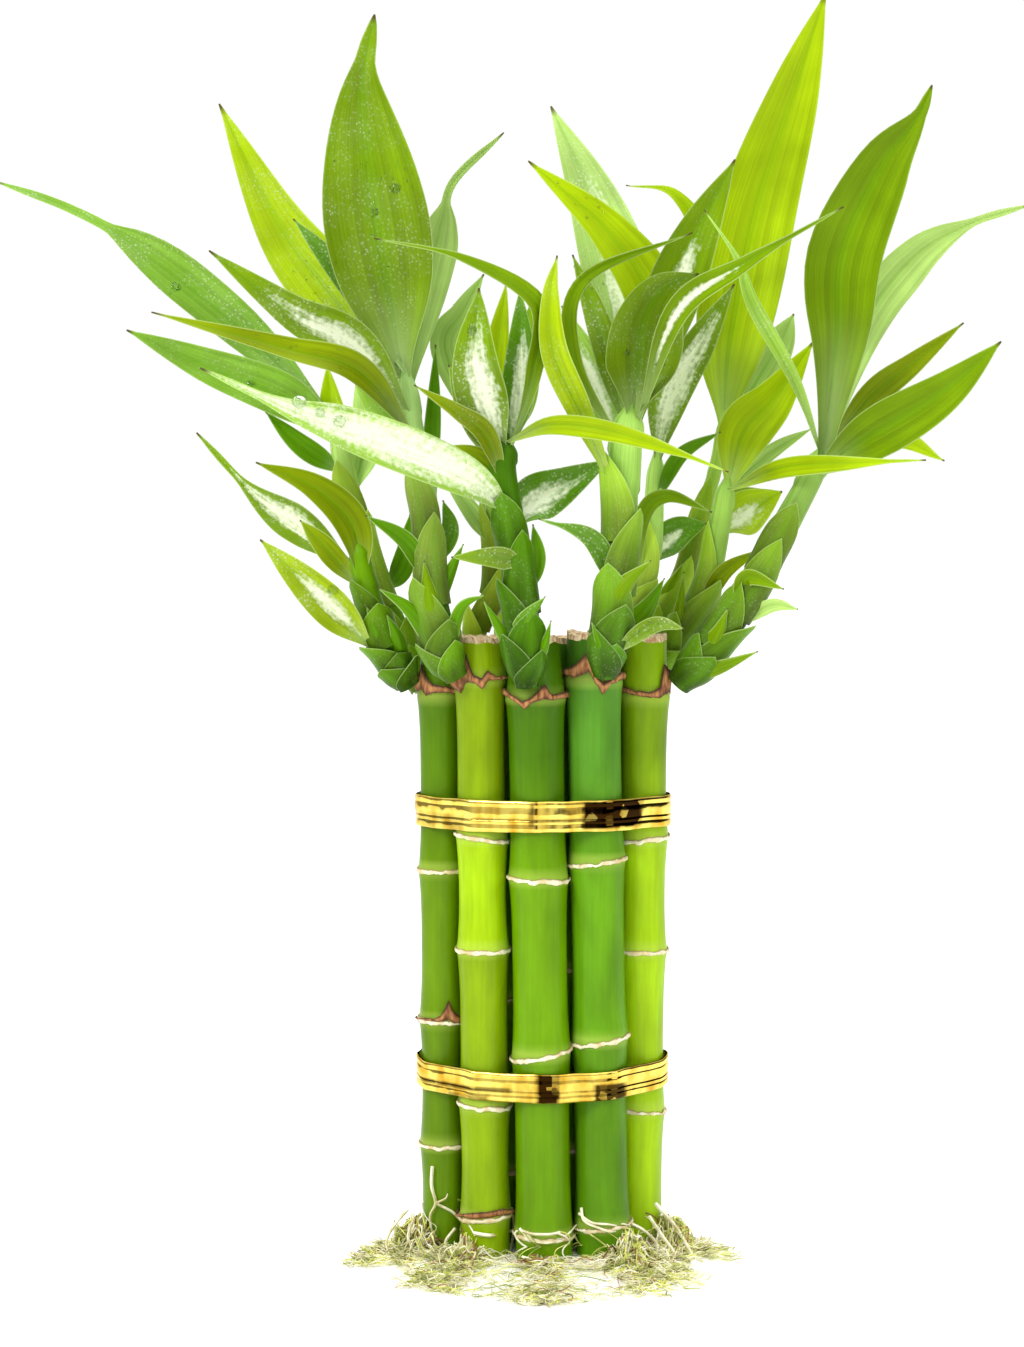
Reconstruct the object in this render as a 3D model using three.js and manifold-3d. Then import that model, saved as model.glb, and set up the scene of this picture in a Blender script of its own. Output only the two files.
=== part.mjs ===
import * as THREE from "three";
import { mergeVertices } from "three/addons/utils/BufferGeometryUtils.js";
import Module from "manifold-3d";

// Lucky bamboo: eleven cut canes tied in an upright bundle with two gold foil bands, a leafy
// shoot growing from the top node of each cane and a mat of roots round the cut lower ends.
// Millimetres, +Z up, the front of the plant faces -Y, the canes stand on Z = 0.

const wasm = await Module();
wasm.setup();

const clearance = 0.4;
const caneSides = 10;
const ridgeHeight = 0.4;
const ridgeHalfLength = 0.9;
const stubTaper = 0.96;
const bladeThickness = 0.7;
const stemSides = 6;
const bandThickness = 0.8;
const bandRib = 0.45;
const bandStations = 28;
const matHeight = 3.4;
const matRim = 3.2;
const fibreCount = 36;
const fibreRadius = 0.65;
const grid = 0.004;

// Canes: place of the foot and of the cut top, length, radius, heights of the nodes, colour.
const canes = [
  { foot: [-24.8, -3], head: [-25.3, -3.2], length: 153, radius: 5.5,
    nodes: [25.7, 57.3, 95.2, 138.5], colour: "#5f8f1f" },
  { foot: [-14.1, -11.4], head: [-15.6, -11.6], length: 154, radius: 6,
    nodes: [9.6, 37.6, 76.4, 104.4, 143.3], colour: "#9cc93a" },
  { foot: [0.4, -14], head: [-2.1, -14.2], length: 154, radius: 6.9,
    nodes: [5.6, 50.8, 94.5, 139], colour: "#5d9a1e" },
  { foot: [15.1, -11.4], head: [12.2, -11.2], length: 155, radius: 6.7,
    nodes: [7.4, 53.9, 98.4, 143], colour: "#33752a" },
  { foot: [24.4, -1.2], head: [25.4, -4], length: 154, radius: 5.9,
    nodes: [34.4, 74.8, 103, 138.2], colour: "#8fc03a" },
  { foot: [-10.5, 2.6], head: [-10.6, 2.4], length: 151, radius: 6.2,
    nodes: [18, 62, 137], colour: "#5a8f22" },
  { foot: [4.5, 1.2], head: [4.3, 1], length: 153, radius: 6.3,
    nodes: [24, 70, 140], colour: "#4d8a26" },
  { foot: [17.4, 8.4], head: [17.6, 8], length: 150, radius: 5.8,
    nodes: [15, 66, 136], colour: "#6ea32c" },
  { foot: [-22, 11], head: [-22.4, 11.2], length: 151, radius: 5.8,
    nodes: [21, 68, 137], colour: "#6b9d28" },
  { foot: [-7.5, 17], head: [-7.7, 17.2], length: 152, radius: 6.1,
    nodes: [30, 79, 139], colour: "#5f962a" },
  { foot: [6.2, 16.6], head: [6.4, 16.8], length: 150, radius: 5.9,
    nodes: [12, 60, 135], colour: "#4f8d2a" },
];

// Ties: name, middle height, half height, drop of the front below the back.
const bands = [
  { name: "tie_upper", middle: 110.4, half: 3.5, drop: 0 },
  { name: "tie_lower", middle: 45.2, half: 3.2, drop: 1.8 },
];

// The shoots are laid out as they look from the front, from an eye 675 mm before the bundle:
// a point is [across, up, depth], so that a change of depth keeps its place in the outline.
const eye = new THREE.Vector3(-7.6, -675, 187.5);

// A shoot is its name, its stem as [across, up, depth, radius] and its blades. A blade is its
// midrib points from base to tip, its width, its roll at the base and at the tip, and its cup.
const shoots = [
  ["shoot_01",
    [[-33.6, 141, -6, 3.4], [-38, 148.5, -8, 4], [-42, 158, -9, 3.6], [-44.5, 168, -10, 3],
      [-46.5, 178, -10, 2.4]],
    [
      [[[-45, 166, -10], [-47.5, 181, -12], [-57, 190.5, -15], [-71.5, 196.8, -18]], 9.5, 10, 30, 12],
      [[[-43, 151, -10], [-56.5, 164, -20], [-70.5, 177.6, -28]], 10, 5, 10, 10],
      [[[-46, 166, -9], [-54, 175.5, -8], [-60.5, 182.4, -6]], 6, -10, 0, 10],
      [[[-46.5, 170, -9], [-60, 180, 0], [-72, 189, 4], [-86.2, 204.2, 8]], 10, 10, 20, 12],
      [[[-37, 147, -9], [-41, 153, -13], [-44, 161, -14]], 7, 0, 0, -20],
      [[[-36, 144, -8], [-36, 152, -13], [-39, 159, -14]], 6, 10, 0, -20],
    ]],
  ["shoot_02",
    [[-21.5, 143, -18.4, 3.2], [-25.2, 150, -19.6, 4.2], [-27.6, 162, -20, 3.9], [-28.6, 176, -18, 3.3],
      [-29.6, 190, -16, 3.2], [-32.6, 206, -14, 3], [-34.6, 222, -13, 3]],
    [
      [[[-34.6, 218, -13], [-38.5, 240, -16], [-42.6, 265, -19], [-44.6, 289, -18],
        [-41.5, 307, -14]], 26.5, 0, 10, 10],
      [[[-34.4, 214, -11], [-52, 238, -2], [-65.5, 256, 4], [-80, 285.2, 8]], 17.5, -10, 10, 12],
      [[[-34.6, 219, -15], [-47, 239, -10], [-54, 248, -10], [-61.8, 257, -8]], 7, 20, 20, 10],
      [[[-33.2, 208, -15], [-47, 225, -24], [-62, 233.5, -30], [-82.8, 249.2, -36]], 12.5, 10, 20, 14],
      [[[-32.8, 204, -14], [-46, 219.5, -34], [-64, 225, -40], [-97.2, 234, -46]], 8, 15, 30, 14],
      [[[-34, 212, -13], [-29.5, 236, -4], [-25, 256, 2], [-22, 266.5, 2], [-9.6, 278.2, 0]], 11, 0, 50, 10],
      [[[-32, 203, -14], [-39, 209, -7], [-47.5, 219, -2]], 9, 0, 0, 10],
      [[[-29.2, 186, -17], [-27.4, 206, -8], [-26.6, 226, -6]], 4.5, 0, 10, 10],
      [[[-28, 166, -19], [-34, 177, -22], [-44.2, 183.6, -24]], 5, 10, 10, 14],
      [[[-28, 170, -18], [-23.2, 179.5, -16], [-24.8, 187.4, -15]], 5, 0, 10, 10],
      [[[-27, 160, -20], [-22.8, 170, -20], [-19.7, 176.5, -20]], 4, 0, 10, -15],
      [[[-27, 151, -21], [-28.2, 161, -25.5], [-29.6, 172.4, -24.5]], 8.5, 0, 0, -20],
      [[[-26, 150, -21], [-33, 160, -24], [-41, 165.4, -24]], 5, 10, 10, -15],
      [[[-24, 147, -21], [-20.6, 160, -25], [-14.4, 163.8, -26]], 3.6, 0, 20, -10],
    ]],
  ["shoot_03",
    [[-4, 141, -24, 3.2], [-4.4, 149, -25.5, 4.4], [-5.2, 160, -24, 4], [-6.8, 173, -22, 3.7],
      [-8.6, 184, -20, 3.6], [-9.8, 195, -19, 3.4], [-9.4, 204, -18, 3.8]],
    [
      [[[-9, 185, -20], [-20, 193.5, -30], [-47, 204.5, -36], [-64, 210.5, -40],
        [-85.2, 220.2, -44]], 12, 10, 20, 8],
      [[[-9.6, 190, -19], [-14, 203, -24], [-21, 209, -28], [-32, 216, -32]], 6, 20, 30, 12],
      [[[-9, 188, -18], [-15.5, 197.5, -16], [-27, 200.6, -14]], 6, 0, 20, 10],
      [[[-9.6, 199, -19], [-16.4, 219, -23], [-15.8, 240, -26]], 13, -5, 0, 12],
      [[[-9.8, 197, -18], [-17.6, 208.5, -18], [-23.4, 221, -17]], 7, 0, 0, 10],
      [[[-8.6, 199, -18], [-5.6, 219, -17], [-5.6, 240, -14]], 9, 0, 0, 12],
      [[[-8, 201, -20], [-2.6, 219, -28], [-1.4, 236, -32], [-20, 247.4, -34],
        [-41.8, 252.2, -36]], 5.6, 40, 10, 8],
      [[[-9, 202, -20], [2, 206.2, -28], [17, 204.6, -33], [33, 199.6, -36],
        [46.4, 194.4, -38]], 5.6, 20, 10, 12],
      [[[-8, 180, -20], [-3, 186.5, -14], [5, 191, -8], [16.8, 197.4, -2]], 12.5, 0, -10, 10],
      [[[-5.6, 172, -24], [-12, 173.2, -30], [-22.8, 173.2, -36]], 5.6, 0, 0, 10],
      [[[-4, 163, -23], [-1.2, 173, -20], [-2.4, 181.4, -18]], 4.4, 0, 0, 10],
      [[[-4.4, 147, -26], [-4.4, 156, -30.5], [0.8, 163.4, -30]], 8, 0, 20, -20],
      [[[-4, 145, -26], [0, 150, -29], [2.2, 157.4, -29]], 4.4, 0, 0, -20],
      [[[-5, 145, -26], [-10.4, 155, -28], [-14.8, 162.4, -28]], 4.4, 0, 10, -20],
    ]],
  ["shoot_04",
    [[15.6, 143.2, -20.6, 3.4], [16.6, 152, -22, 4.4], [18.4, 165, -22, 4.2], [19.4, 178, -20, 4.1],
      [19.9, 190, -19, 4.2], [20.8, 202, -18, 4.2], [22, 212, -18, 3.4]],
    [
      [[[22, 208, -18], [23.6, 220, -21], [25, 231, -26], [29.5, 239.6, -28],
        [38.7, 243.6, -29]], 21, 0, 40, 18],
      [[[22, 206, -15], [20, 236, -2], [13.2, 260, 6], [2, 284.6, 10]], 18, 0, 0, 10],
      [[[23.4, 206, -16], [27.5, 234, -10], [17, 253, -9], [-3.6, 271.2, -10]], 14.5, 10, 10, 12],
      [[[20, 200, -19], [7.6, 222, -26], [10, 242, -26], [37.2, 253.6, -24]], 4.6, 30, 20, 10],
      [[[20, 198, -17], [11.6, 219, -12], [4.8, 235.6, -8]], 10, 0, 0, 10],
      [[[21, 204, -17], [14.2, 230, -14], [7.4, 248.2, -14]], 7, 0, 10, 10],
      [[[18, 190, -20], [9.4, 209, -27], [2.8, 224, -31], [1.8, 238, -32], [3.6, 248, -31]], 7.4, 0, 20, 12],
      [[[23, 207, -18], [31, 235, -16], [38.4, 253.6, -17], [47.6, 271.6, -18]], 14.5, 0, 10, 12],
      [[[23.4, 206, -19], [33, 234, -32], [50, 246, -34], [74.6, 260, -36]], 6.4, 10, 10, 12],
      [[[18.4, 164, -22], [12.4, 177.5, -24], [-1, 182.8, -26]], 5.6, 10, 10, 12],
      [[[17, 153, -23], [19.6, 164, -28], [27.2, 172.4, -28]], 9, 0, 20, -20],
      [[[16, 146, -24], [14.6, 151, -27], [12.2, 157.2, -27]], 4, 0, 0, -20],
      [[[17, 149, -24], [27.5, 156.4, -27], [35.4, 155.4, -28]], 4.8, 20, 20, 12],
    ]],
  ["shoot_05",
    [[34, 141.5, -6, 3.8], [40, 148, -8, 4.4], [46.4, 157, -9, 4.2], [52.5, 165.5, -10, 3.8],
      [57.2, 175, -10, 3.4], [62.6, 185, -10, 3.3], [67.6, 194.5, -10, 3.2], [70, 201, -10, 3]],
    [
      [[[69.6, 195.6, -10.7], [73, 226, -14], [74, 248, -16], [83.5, 269.4, -18], [92.2, 281.2, -16],
        [96.2, 289.8, -14]], 20, 0, 30, 12],
      [[[67.3, 194.2, -10.4], [83, 204.4, -20], [100, 214.6, -26], [114, 226.8, -30]], 13.5, 10, 10, 10],
      [[[69.6, 198, -9], [81.5, 213, -4], [92, 221.4, -2], [104.6, 231.4, 0]], 7.5, 0, 10, 12],
      [[[68.6, 196, -8], [87, 203, 2], [100.2, 197.2, 6]], 6, 10, 20, 12],
      [[[69.1, 196.3, -9.8], [79.5, 230, 6], [92, 247.4, 12], [106, 256, 16],
        [120.8, 260.5, 18]], 12.5, 0, 40, 10],
      [[[69.2, 198.6, -11.4], [62, 217.6, -24], [52, 235.6, -26], [48, 247.4, -26],
        [40, 259.2, -26]], 5, 40, 30, 10],
      [[[49, 160, -10], [51, 168.2, -15], [60.4, 165.2, -16]], 5, 10, 20, 12],
      [[[48, 156, -10], [57, 161.2, -12], [64, 160.2, -12]], 4, 10, 20, 12],
      [[[36, 144, -9], [44, 145.4, -13], [54, 149.6, -16]], 5, 10, 10, -12],
      [[[38, 146, -9], [43.4, 153, -14.5], [46.4, 160.4, -15]], 6.5, 0, 0, -20],
    ]],
  ["shoot_06",
    [[-30, 140, 11.2, 3.4], [-35, 150, 14, 3.6], [-41.5, 168, 16, 3], [-46.8, 184, 16, 2.8],
      [-50, 199, 15, 2.7], [-50.5, 209, 15, 2.6]],
    [
      [[[-50, 203, 15], [-64, 213, 12], [-84, 221, 8], [-103.4, 229.6, 2]], 12, 0, 10, 12],
      [[[-50.4, 205, 16], [-73, 228, 22], [-100, 249.6, 20], [-116.4, 259, 20],
        [-135.6, 266.2, 20]], 13, 0, 50, 10],
      [[[-49, 194, 15], [-60, 201, 14], [-69, 209.4, 14]], 6, 0, 10, 10],
      [[[-50.2, 203, 17], [-52.4, 210, 22], [-53.6, 221, 24]], 7, 0, 0, 10],
      [[[-40, 165, 17], [-35, 172, 22], [-33, 184, 26]], 7, 30, 20, 10],
      [[[-47.6, 188, 16], [-44, 204, 22], [-46, 219, 28]], 9, 0, 0, 12],
    ]],
  ["shoot_07",
    [[-18.2, 137, 1, 2.3], [-18, 147, 1, 2.3], [-16, 156, 1, 2.6], [-12.4, 165, 0, 2.6],
      [-12, 178, -2, 2.4], [-12.2, 191, -3, 2.3], [-12.6, 203, -2, 2.2]],
    [
      [[[-12.4, 198, -2], [-24, 224, 2], [-20, 234, 2], [-14.6, 243.4, 2]], 8, 0, 10, 10],
      [[[-12.6, 198, -2], [-11.6, 222, -4], [-9, 241.4, -4]], 7, 0, 0, 10],
      [[[-12.4, 176, -4], [-18, 185, -2], [-24.5, 192.5, 2]], 5, 0, 10, 12],
    ]],
  ["shoot_08",
    [[11.6, 141, 0, 2.8], [14, 150, -1, 3], [19, 157.6, 0, 3.3], [23.4, 164, 2, 3.2], [27, 174, 4, 2.7],
      [28, 188, 5, 2.5], [28.6, 201, 5, 2.4]],
    [
      [[[28.4, 196, 5], [31.4, 213, 4], [39.4, 227, 2], [47.6, 241, 0]], 11, 0, 0, 14],
      [[[28, 187, 5], [34, 198.4, 0], [44.4, 204.4, -4]], 4.4, 20, 10, 12],
      [[[23.2, 164, 2], [24.6, 183, -2], [31, 188.6, -2], [42.4, 184.4, -3]], 5, 30, 10, 12],
      [[[19, 153, 1], [26, 160, -5], [30.6, 168, -5]], 7, 0, 10, -18],
      [[[26, 171, 5], [33, 179, 12], [41, 181.6, 16]], 9, 0, 0, 12],
    ]],
  ["shoot_09",
    [[25, 137, 9.4, 3], [29, 147, 8, 3.6], [36.4, 157, 5, 3.4], [41.4, 168, 3, 3], [44.4, 182, 2, 2.8],
      [46.2, 194, 2, 2.6]],
    [
      [[[46.2, 190, 2], [50, 204, 0], [57.6, 212.6, 0], [67.2, 226.6, 2]], 14, 0, 0, 10],
      [[[45.8, 190, 1], [60, 195.6, -14], [78, 196.8, -28], [95.6, 197.4, -34]], 5.4, 20, 10, 12],
      [[[46, 190, 3], [57, 199.6, 6], [67, 205.2, 10]], 4.4, 10, 20, 12],
      [[[44, 179, 3], [51, 184.6, 10], [59.8, 189.6, 14]], 12, 0, 0, 12],
      [[[39.8, 160, 3], [45, 169.4, -1], [54.6, 175.2, -2]], 5, 10, 20, 12],
      [[[32, 151, 6.4], [34, 158, 1], [35.4, 169.6, 0]], 5, 0, 0, -18],
    ]],
  ["shoot_10",
    [[14.2, 136, 17.6, 3.2], [20, 146, 18, 3.4], [29, 157, 18, 3.2], [35, 168, 18, 2.6],
      [39, 182, 19, 2.2], [43.6, 197, 20, 1.8], [45, 210, 20, 1.8]],
    [
      [[[45, 205, 20], [46.4, 226, 20], [52.6, 258, 22], [62, 288, 24], [69.8, 312.4, 26]], 22, 0, 10, 10],
      [[[44.6, 203, 20], [41, 246, 34], [33, 262.6, 36], [20.6, 265.2, 36]], 5.6, 0, 30, 12],
      [[[44.8, 203, 21], [57, 223, 32], [62.4, 233.6, 38]], 10, 0, 0, 12],
      [[[31, 160, 18], [32, 165, 15], [35.4, 172, 14]], 6, 0, 0, -18],
      [[[38, 178, 19], [46, 186, 36], [56, 190, 54]], 9, 0, 10, 12],
    ]],
  ["shoot_11",
    [[-8.4, 140, 26.4, 3], [-8, 150, 29, 3.4], [-8, 166, 30, 2.8], [-9, 184, 30, 2.6], [-10, 202, 30, 2.4]],
    [
      [[[-10, 193, 30], [-17, 214, 43], [-22, 236, 54]], 12, 0, 0, 12],
      [[[-9.8, 199, 30], [-6, 217, 42], [-3, 236, 52]], 12, 0, 0, 12],
      [[[-8.8, 178, 30], [-12, 188, 46], [-14, 197, 62]], 8, 0, 10, 12],
    ]],
];

const shootColours = {
  shoot_01: "#7fb21e", shoot_02: "#86bb25", shoot_03: "#6fae22", shoot_04: "#79b41f",
  shoot_05: "#6eab20", shoot_06: "#9ccc4a", shoot_07: "#92c94a", shoot_08: "#93c95a",
  shoot_09: "#a0c726", shoot_10: "#9bc42a", shoot_11: "#83bb3a",
};

// A repeatable draw between low and high.
let seed = 47;
function draw(low, high) {
  seed = (seed * 16807) % 2147483647;
  return low + (high - low) * (seed / 2147483647);
}

// The real place of a point given as it is seen from the front.
function seen([across, up, depth]) {
  const onPlane = new THREE.Vector3(across, 0, up);
  return onPlane.sub(eye).multiplyScalar(1 + depth / -eye.y).add(eye);
}

// A smooth curve through the given points, at a part t of the way.
function through(points, t) {
  const last = points.length - 1;
  const span = Math.min(Math.floor(t * last), last - 1);
  const s = t * last - span;
  const at = (i) => points[Math.max(0, Math.min(last, i))];
  const before = span > 0 ? at(span - 1) : at(0).clone().multiplyScalar(2).sub(at(1));
  const after = span + 2 <= last ? at(span + 2) : at(last).clone().multiplyScalar(2).sub(at(last - 1));
  const [a, b, c, d] = [before, at(span), at(span + 1), after];
  const blend = (p, q, r, w) => 0.5 * (2 * q + (r - p) * s + (2 * p - 5 * q + 4 * r - w) * s * s
    + (3 * q - p - 3 * r + w) * s * s * s);
  return new THREE.Vector3(blend(a.x, b.x, c.x, d.x), blend(a.y, b.y, c.y, d.y), blend(a.z, b.z, c.z, d.z));
}

function direction(points, t) {
  const step = 0.01;
  const ahead = through(points, Math.min(1, t + step));
  return ahead.sub(through(points, Math.max(0, t - step))).normalize();
}

// A closed skin over a row of rings with the same number of points, or over a loop of rings.
// From the point `mirrored` on, the squares are split the other way, so two faces split alike.
function loft(rings, { loop = false, mirrored = Infinity } = {}) {
  const count = rings[0].length;
  const position = rings.flat().flatMap((p) => [p.x, p.y, p.z]);
  const index = [];
  const rows = loop ? rings.length : rings.length - 1;
  for (let r = 0; r < rows; r++) {
    const here = r * count;
    const next = ((r + 1) % rings.length) * count;
    for (let i = 0; i < count; i++) {
      const j = (i + 1) % count;
      const [a, b, c, d] = [here + i, here + j, next + j, next + i];
      index.push(...(i >= mirrored ? [a, b, d, b, c, d] : [a, b, c, a, c, d]));
    }
  }
  if (!loop) {
    const end = (rings.length - 1) * count;
    for (let i = 1; i < count - 1; i++) {
      index.push(0, i + 1, i);
      index.push(end, end + i, end + i + 1);
    }
  }
  const geometry = new THREE.BufferGeometry();
  geometry.setAttribute("position", new THREE.Float32BufferAttribute(position, 3));
  geometry.setIndex(index);
  return faceOutward(geometry);
}

function faceOutward(geometry) {
  const p = geometry.attributes.position;
  const index = Array.from(geometry.index.array);
  const corner = (i) => new THREE.Vector3().fromBufferAttribute(p, index[i]);
  let volume = 0;
  for (let i = 0; i < index.length; i += 3) {
    volume += corner(i).dot(corner(i + 1).cross(corner(i + 2)));
  }
  if (volume < 0) {
    for (let i = 0; i < index.length; i += 3) {
      [index[i], index[i + 1]] = [index[i + 1], index[i]];
    }
    geometry.setIndex(index);
  }
  return geometry;
}

function toSolid(geometry) {
  const bare = geometry.clone();
  bare.deleteAttribute("normal");
  bare.deleteAttribute("uv");
  const merged = mergeVertices(bare, 1e-4);
  const vertProperties = new Float32Array(merged.attributes.position.array);
  const triVerts = new Uint32Array(merged.index.array);
  return new wasm.Manifold(new wasm.Mesh({ numProp: 3, vertProperties, triVerts }));
}

// The solid's triangles with every corner on a fine grid, without the slivers that collapse there.
function toGeometry(solid) {
  const mesh = solid.getMesh();
  const onGrid = Array.from(mesh.vertProperties, (value) => Math.round(value / grid) * grid);
  const geometry = new THREE.BufferGeometry();
  geometry.setAttribute("position", new THREE.Float32BufferAttribute(onGrid, 3));
  geometry.setIndex(Array.from(mesh.triVerts));
  const merged = mergeVertices(geometry, grid / 10);
  const index = merged.index.array;
  const kept = [];
  for (let i = 0; i < index.length; i += 3) {
    const [a, b, c] = index.slice(i, i + 3);
    if (a !== b && b !== c && c !== a) {
      kept.push(a, b, c);
    }
  }
  merged.setIndex(kept);
  const bodies = toSolid(merged).decompose();
  const body = bodies.reduce((best, one) => (one.volume() > best.volume() ? one : best)).getMesh();
  const result = new THREE.BufferGeometry();
  result.setAttribute("position", new THREE.Float32BufferAttribute(body.vertProperties, 3));
  result.setIndex(Array.from(body.triVerts));
  return result;
}

// A round, tapering rod along a path of points, with a radius at each point.
function rod(points, radii, sides, stations) {
  const rings = [];
  const sideways = new THREE.Vector3(1, 0.2, 0).normalize();
  for (let k = 0; k <= stations; k++) {
    const t = k / stations;
    const centre = through(points, t);
    const along = direction(points, t);
    const across = new THREE.Vector3().crossVectors(along, sideways);
    if (across.length() < 0.2) {
      across.crossVectors(along, new THREE.Vector3(0, 0, 1));
    }
    across.normalize();
    const other = new THREE.Vector3().crossVectors(along, across);
    const place = t * (radii.length - 1);
    const low = Math.min(Math.floor(place), radii.length - 2);
    const radius = radii[low] + (radii[low + 1] - radii[low]) * (place - low);
    rings.push(Array.from({ length: sides }, (_, i) => {
      const turn = (2 * Math.PI * i) / sides;
      return centre.clone()
        .addScaledVector(across, radius * Math.cos(turn))
        .addScaledVector(other, radius * Math.sin(turn));
    }));
  }
  return loft(rings);
}

// The half width of a blade along its length, as a part of the widest.
function bladeShape(t) {
  const widest = 0.45;
  if (t < widest) {
    return 0.3 + 0.7 * Math.sin((Math.PI / 2) * (t / widest)) ** 1.2;
  }
  return (1 - ((t - widest) / (1 - widest)) ** 1.9) ** 1.15;
}

// A leaf or sheath: a thin blade folded along its midrib, turned about it from base to tip.
function blade([path, width, rollBase, rollTip, cup]) {
  const points = path.map(seen);
  const reach = points[0].distanceTo(points[points.length - 1]);
  const stations = reach > 30 ? [0, 0.22, 0.45, 0.68, 0.88, 1] : [0, 0.38, 0.72, 1];
  const rings = stations.map((t) => {
    const centre = through(points, t);
    const along = direction(points, t);
    const side = new THREE.Vector3().crossVectors(along, new THREE.Vector3(0, -1, 0)).normalize();
    side.applyAxisAngle(along, THREE.MathUtils.degToRad(rollBase + (rollTip - rollBase) * t));
    const face = new THREE.Vector3().crossVectors(side, along);
    const half = Math.max(0.45, (width / 2) * bladeShape(t));
    const bend = THREE.MathUtils.degToRad(cup);
    const edge = (sign, lift) => centre.clone()
      .addScaledVector(side, sign * half * Math.cos(bend))
      .addScaledVector(face, half * Math.sin(bend) + lift);
    const rib = (lift) => centre.clone().addScaledVector(face, lift);
    const lift = bladeThickness / 2;
    return [edge(-1, lift), rib(lift), edge(1, lift), edge(1, -lift), rib(-lift), edge(-1, -lift)];
  });
  return loft(rings, { mirrored: 3 });
}

// Canes

function caneCentre(cane, height) {
  const part = height / cane.length;
  const x = cane.foot[0] + (cane.head[0] - cane.foot[0]) * part;
  const y = cane.foot[1] + (cane.head[1] - cane.foot[1]) * part;
  return new THREE.Vector3(x, y, height);
}

function caneSkin(cane, extra) {
  const profile = [[0, cane.radius]];
  cane.nodes.forEach((height) => {
    profile.push([height - ridgeHalfLength, cane.radius]);
    profile.push([height, cane.radius + ridgeHeight]);
    profile.push([height + ridgeHalfLength, cane.radius]);
  });
  profile.push([cane.length, cane.radius * stubTaper]);
  const rings = profile.map(([height, radius]) => {
    const centre = caneCentre(cane, height);
    return Array.from({ length: caneSides }, (_, i) => {
      const turn = (2 * Math.PI * (i + 0.5)) / caneSides;
      const out = new THREE.Vector3(Math.cos(turn), Math.sin(turn), 0);
      return centre.clone().addScaledVector(out, radius + extra);
    });
  });
  return loft(rings);
}

// Ties

// The point of the bundle's outline that lies farthest in the given direction.
function outlinePoint(height, turn, extra) {
  const out = new THREE.Vector3(Math.cos(turn), Math.sin(turn), 0);
  const points = canes.map((cane) => caneCentre(cane, height).addScaledVector(out, cane.radius + extra));
  return points.reduce((best, point) => (point.dot(out) > best.dot(out) ? point : best));
}

function band({ middle, half, drop }) {
  const ribs = [[0, 0], [0.33, 1], [0.67, 0.2], [1, 1], [1.33, 0.2], [1.67, 1], [2, 0]];
  const rings = [];
  for (let k = 0; k < bandStations; k++) {
    const turn = (2 * Math.PI * k) / bandStations;
    const out = new THREE.Vector3(Math.cos(turn), Math.sin(turn), 0);
    const inner = outlinePoint(middle, turn, clearance);
    inner.z = middle - drop * Math.max(0, -Math.sin(turn));
    const place = (depth, height) => inner.clone().addScaledVector(out, depth).setZ(inner.z + height);
    rings.push([
      place(0, half),
      place(0, -half),
      ...ribs.map(([step, rib]) => place(bandThickness + bandRib * rib, half * (step - 1))),
    ]);
  }
  const back = outlinePoint(middle, Math.PI / 2, clearance + bandThickness / 2);
  const tail = [[0, 0, 0], [0, 3, 0.6], [5, 5, 1.6], [10, 4.6, -0.6]]
    .map(([x, y, z]) => back.clone().add(new THREE.Vector3(x, y, z)));
  return toSolid(loft(rings, { loop: true })).add(toSolid(rod(tail, [1.3, 1.1, 1, 0.8], 6, 6)));
}

// Roots

function rootMat() {
  const outline = new THREE.Shape();
  for (let k = 0; k < 30; k++) {
    const point = outlinePoint(0, (2 * Math.PI * k) / 30, matRim);
    if (k === 0) {
      outline.moveTo(point.x, point.y);
    } else {
      outline.lineTo(point.x, point.y);
    }
  }
  let mat = toSolid(new THREE.ExtrudeGeometry(outline, { depth: matHeight, bevelEnabled: false }));
  for (let k = 0; k < fibreCount; k++) {
    const turn = (2 * Math.PI * (k + draw(-0.4, 0.4))) / fibreCount;
    const front = Math.max(0, -Math.sin(turn));
    const reach = draw(9, 17) + front * draw(0, 10);
    const swirl = draw(-0.35, 0.35);
    const start = outlinePoint(0, turn, matRim - 1.2);
    const rise = [[0, 1.7], [0.28, draw(4, 10)], [0.66, draw(3, 9)], [1, draw(1, 3)]];
    const fibre = rise.map(([part, height]) => {
      const angle = turn + swirl * part;
      const out = new THREE.Vector3(Math.cos(angle), Math.sin(angle), 0);
      return start.clone().addScaledVector(out, reach * part).setZ(height);
    });
    mat = mat.add(toSolid(rod(fibre, [1, 0.9, 0.75, fibreRadius], 4, 4)));
  }
  canes.forEach((cane) => {
    mat = mat.subtract(toSolid(caneSkin(cane, clearance)).translate([0, 0, -1]));
  });
  return mat;
}

// Shoots

function shoot(stem, blades) {
  const path = stem.map(seen);
  const radii = stem.map((point) => point[3]);
  let solid = toSolid(rod(path, radii, stemSides, stem.length + 1));
  blades.forEach((entry) => {
    solid = solid.add(toSolid(blade(entry)));
  });
  canes.forEach((cane) => {
    solid = solid.subtract(toSolid(caneSkin(cane, clearance)));
  });
  return solid;
}

// The plant

const group = new THREE.Group();
group.name = "lucky_bamboo";

function addPiece(name, geometry, colour, roughness, metalness) {
  const material = new THREE.MeshStandardMaterial({ color: colour, roughness, metalness });
  material.name = name;
  const mesh = new THREE.Mesh(geometry, material);
  mesh.name = name;
  group.add(mesh);
}

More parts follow.
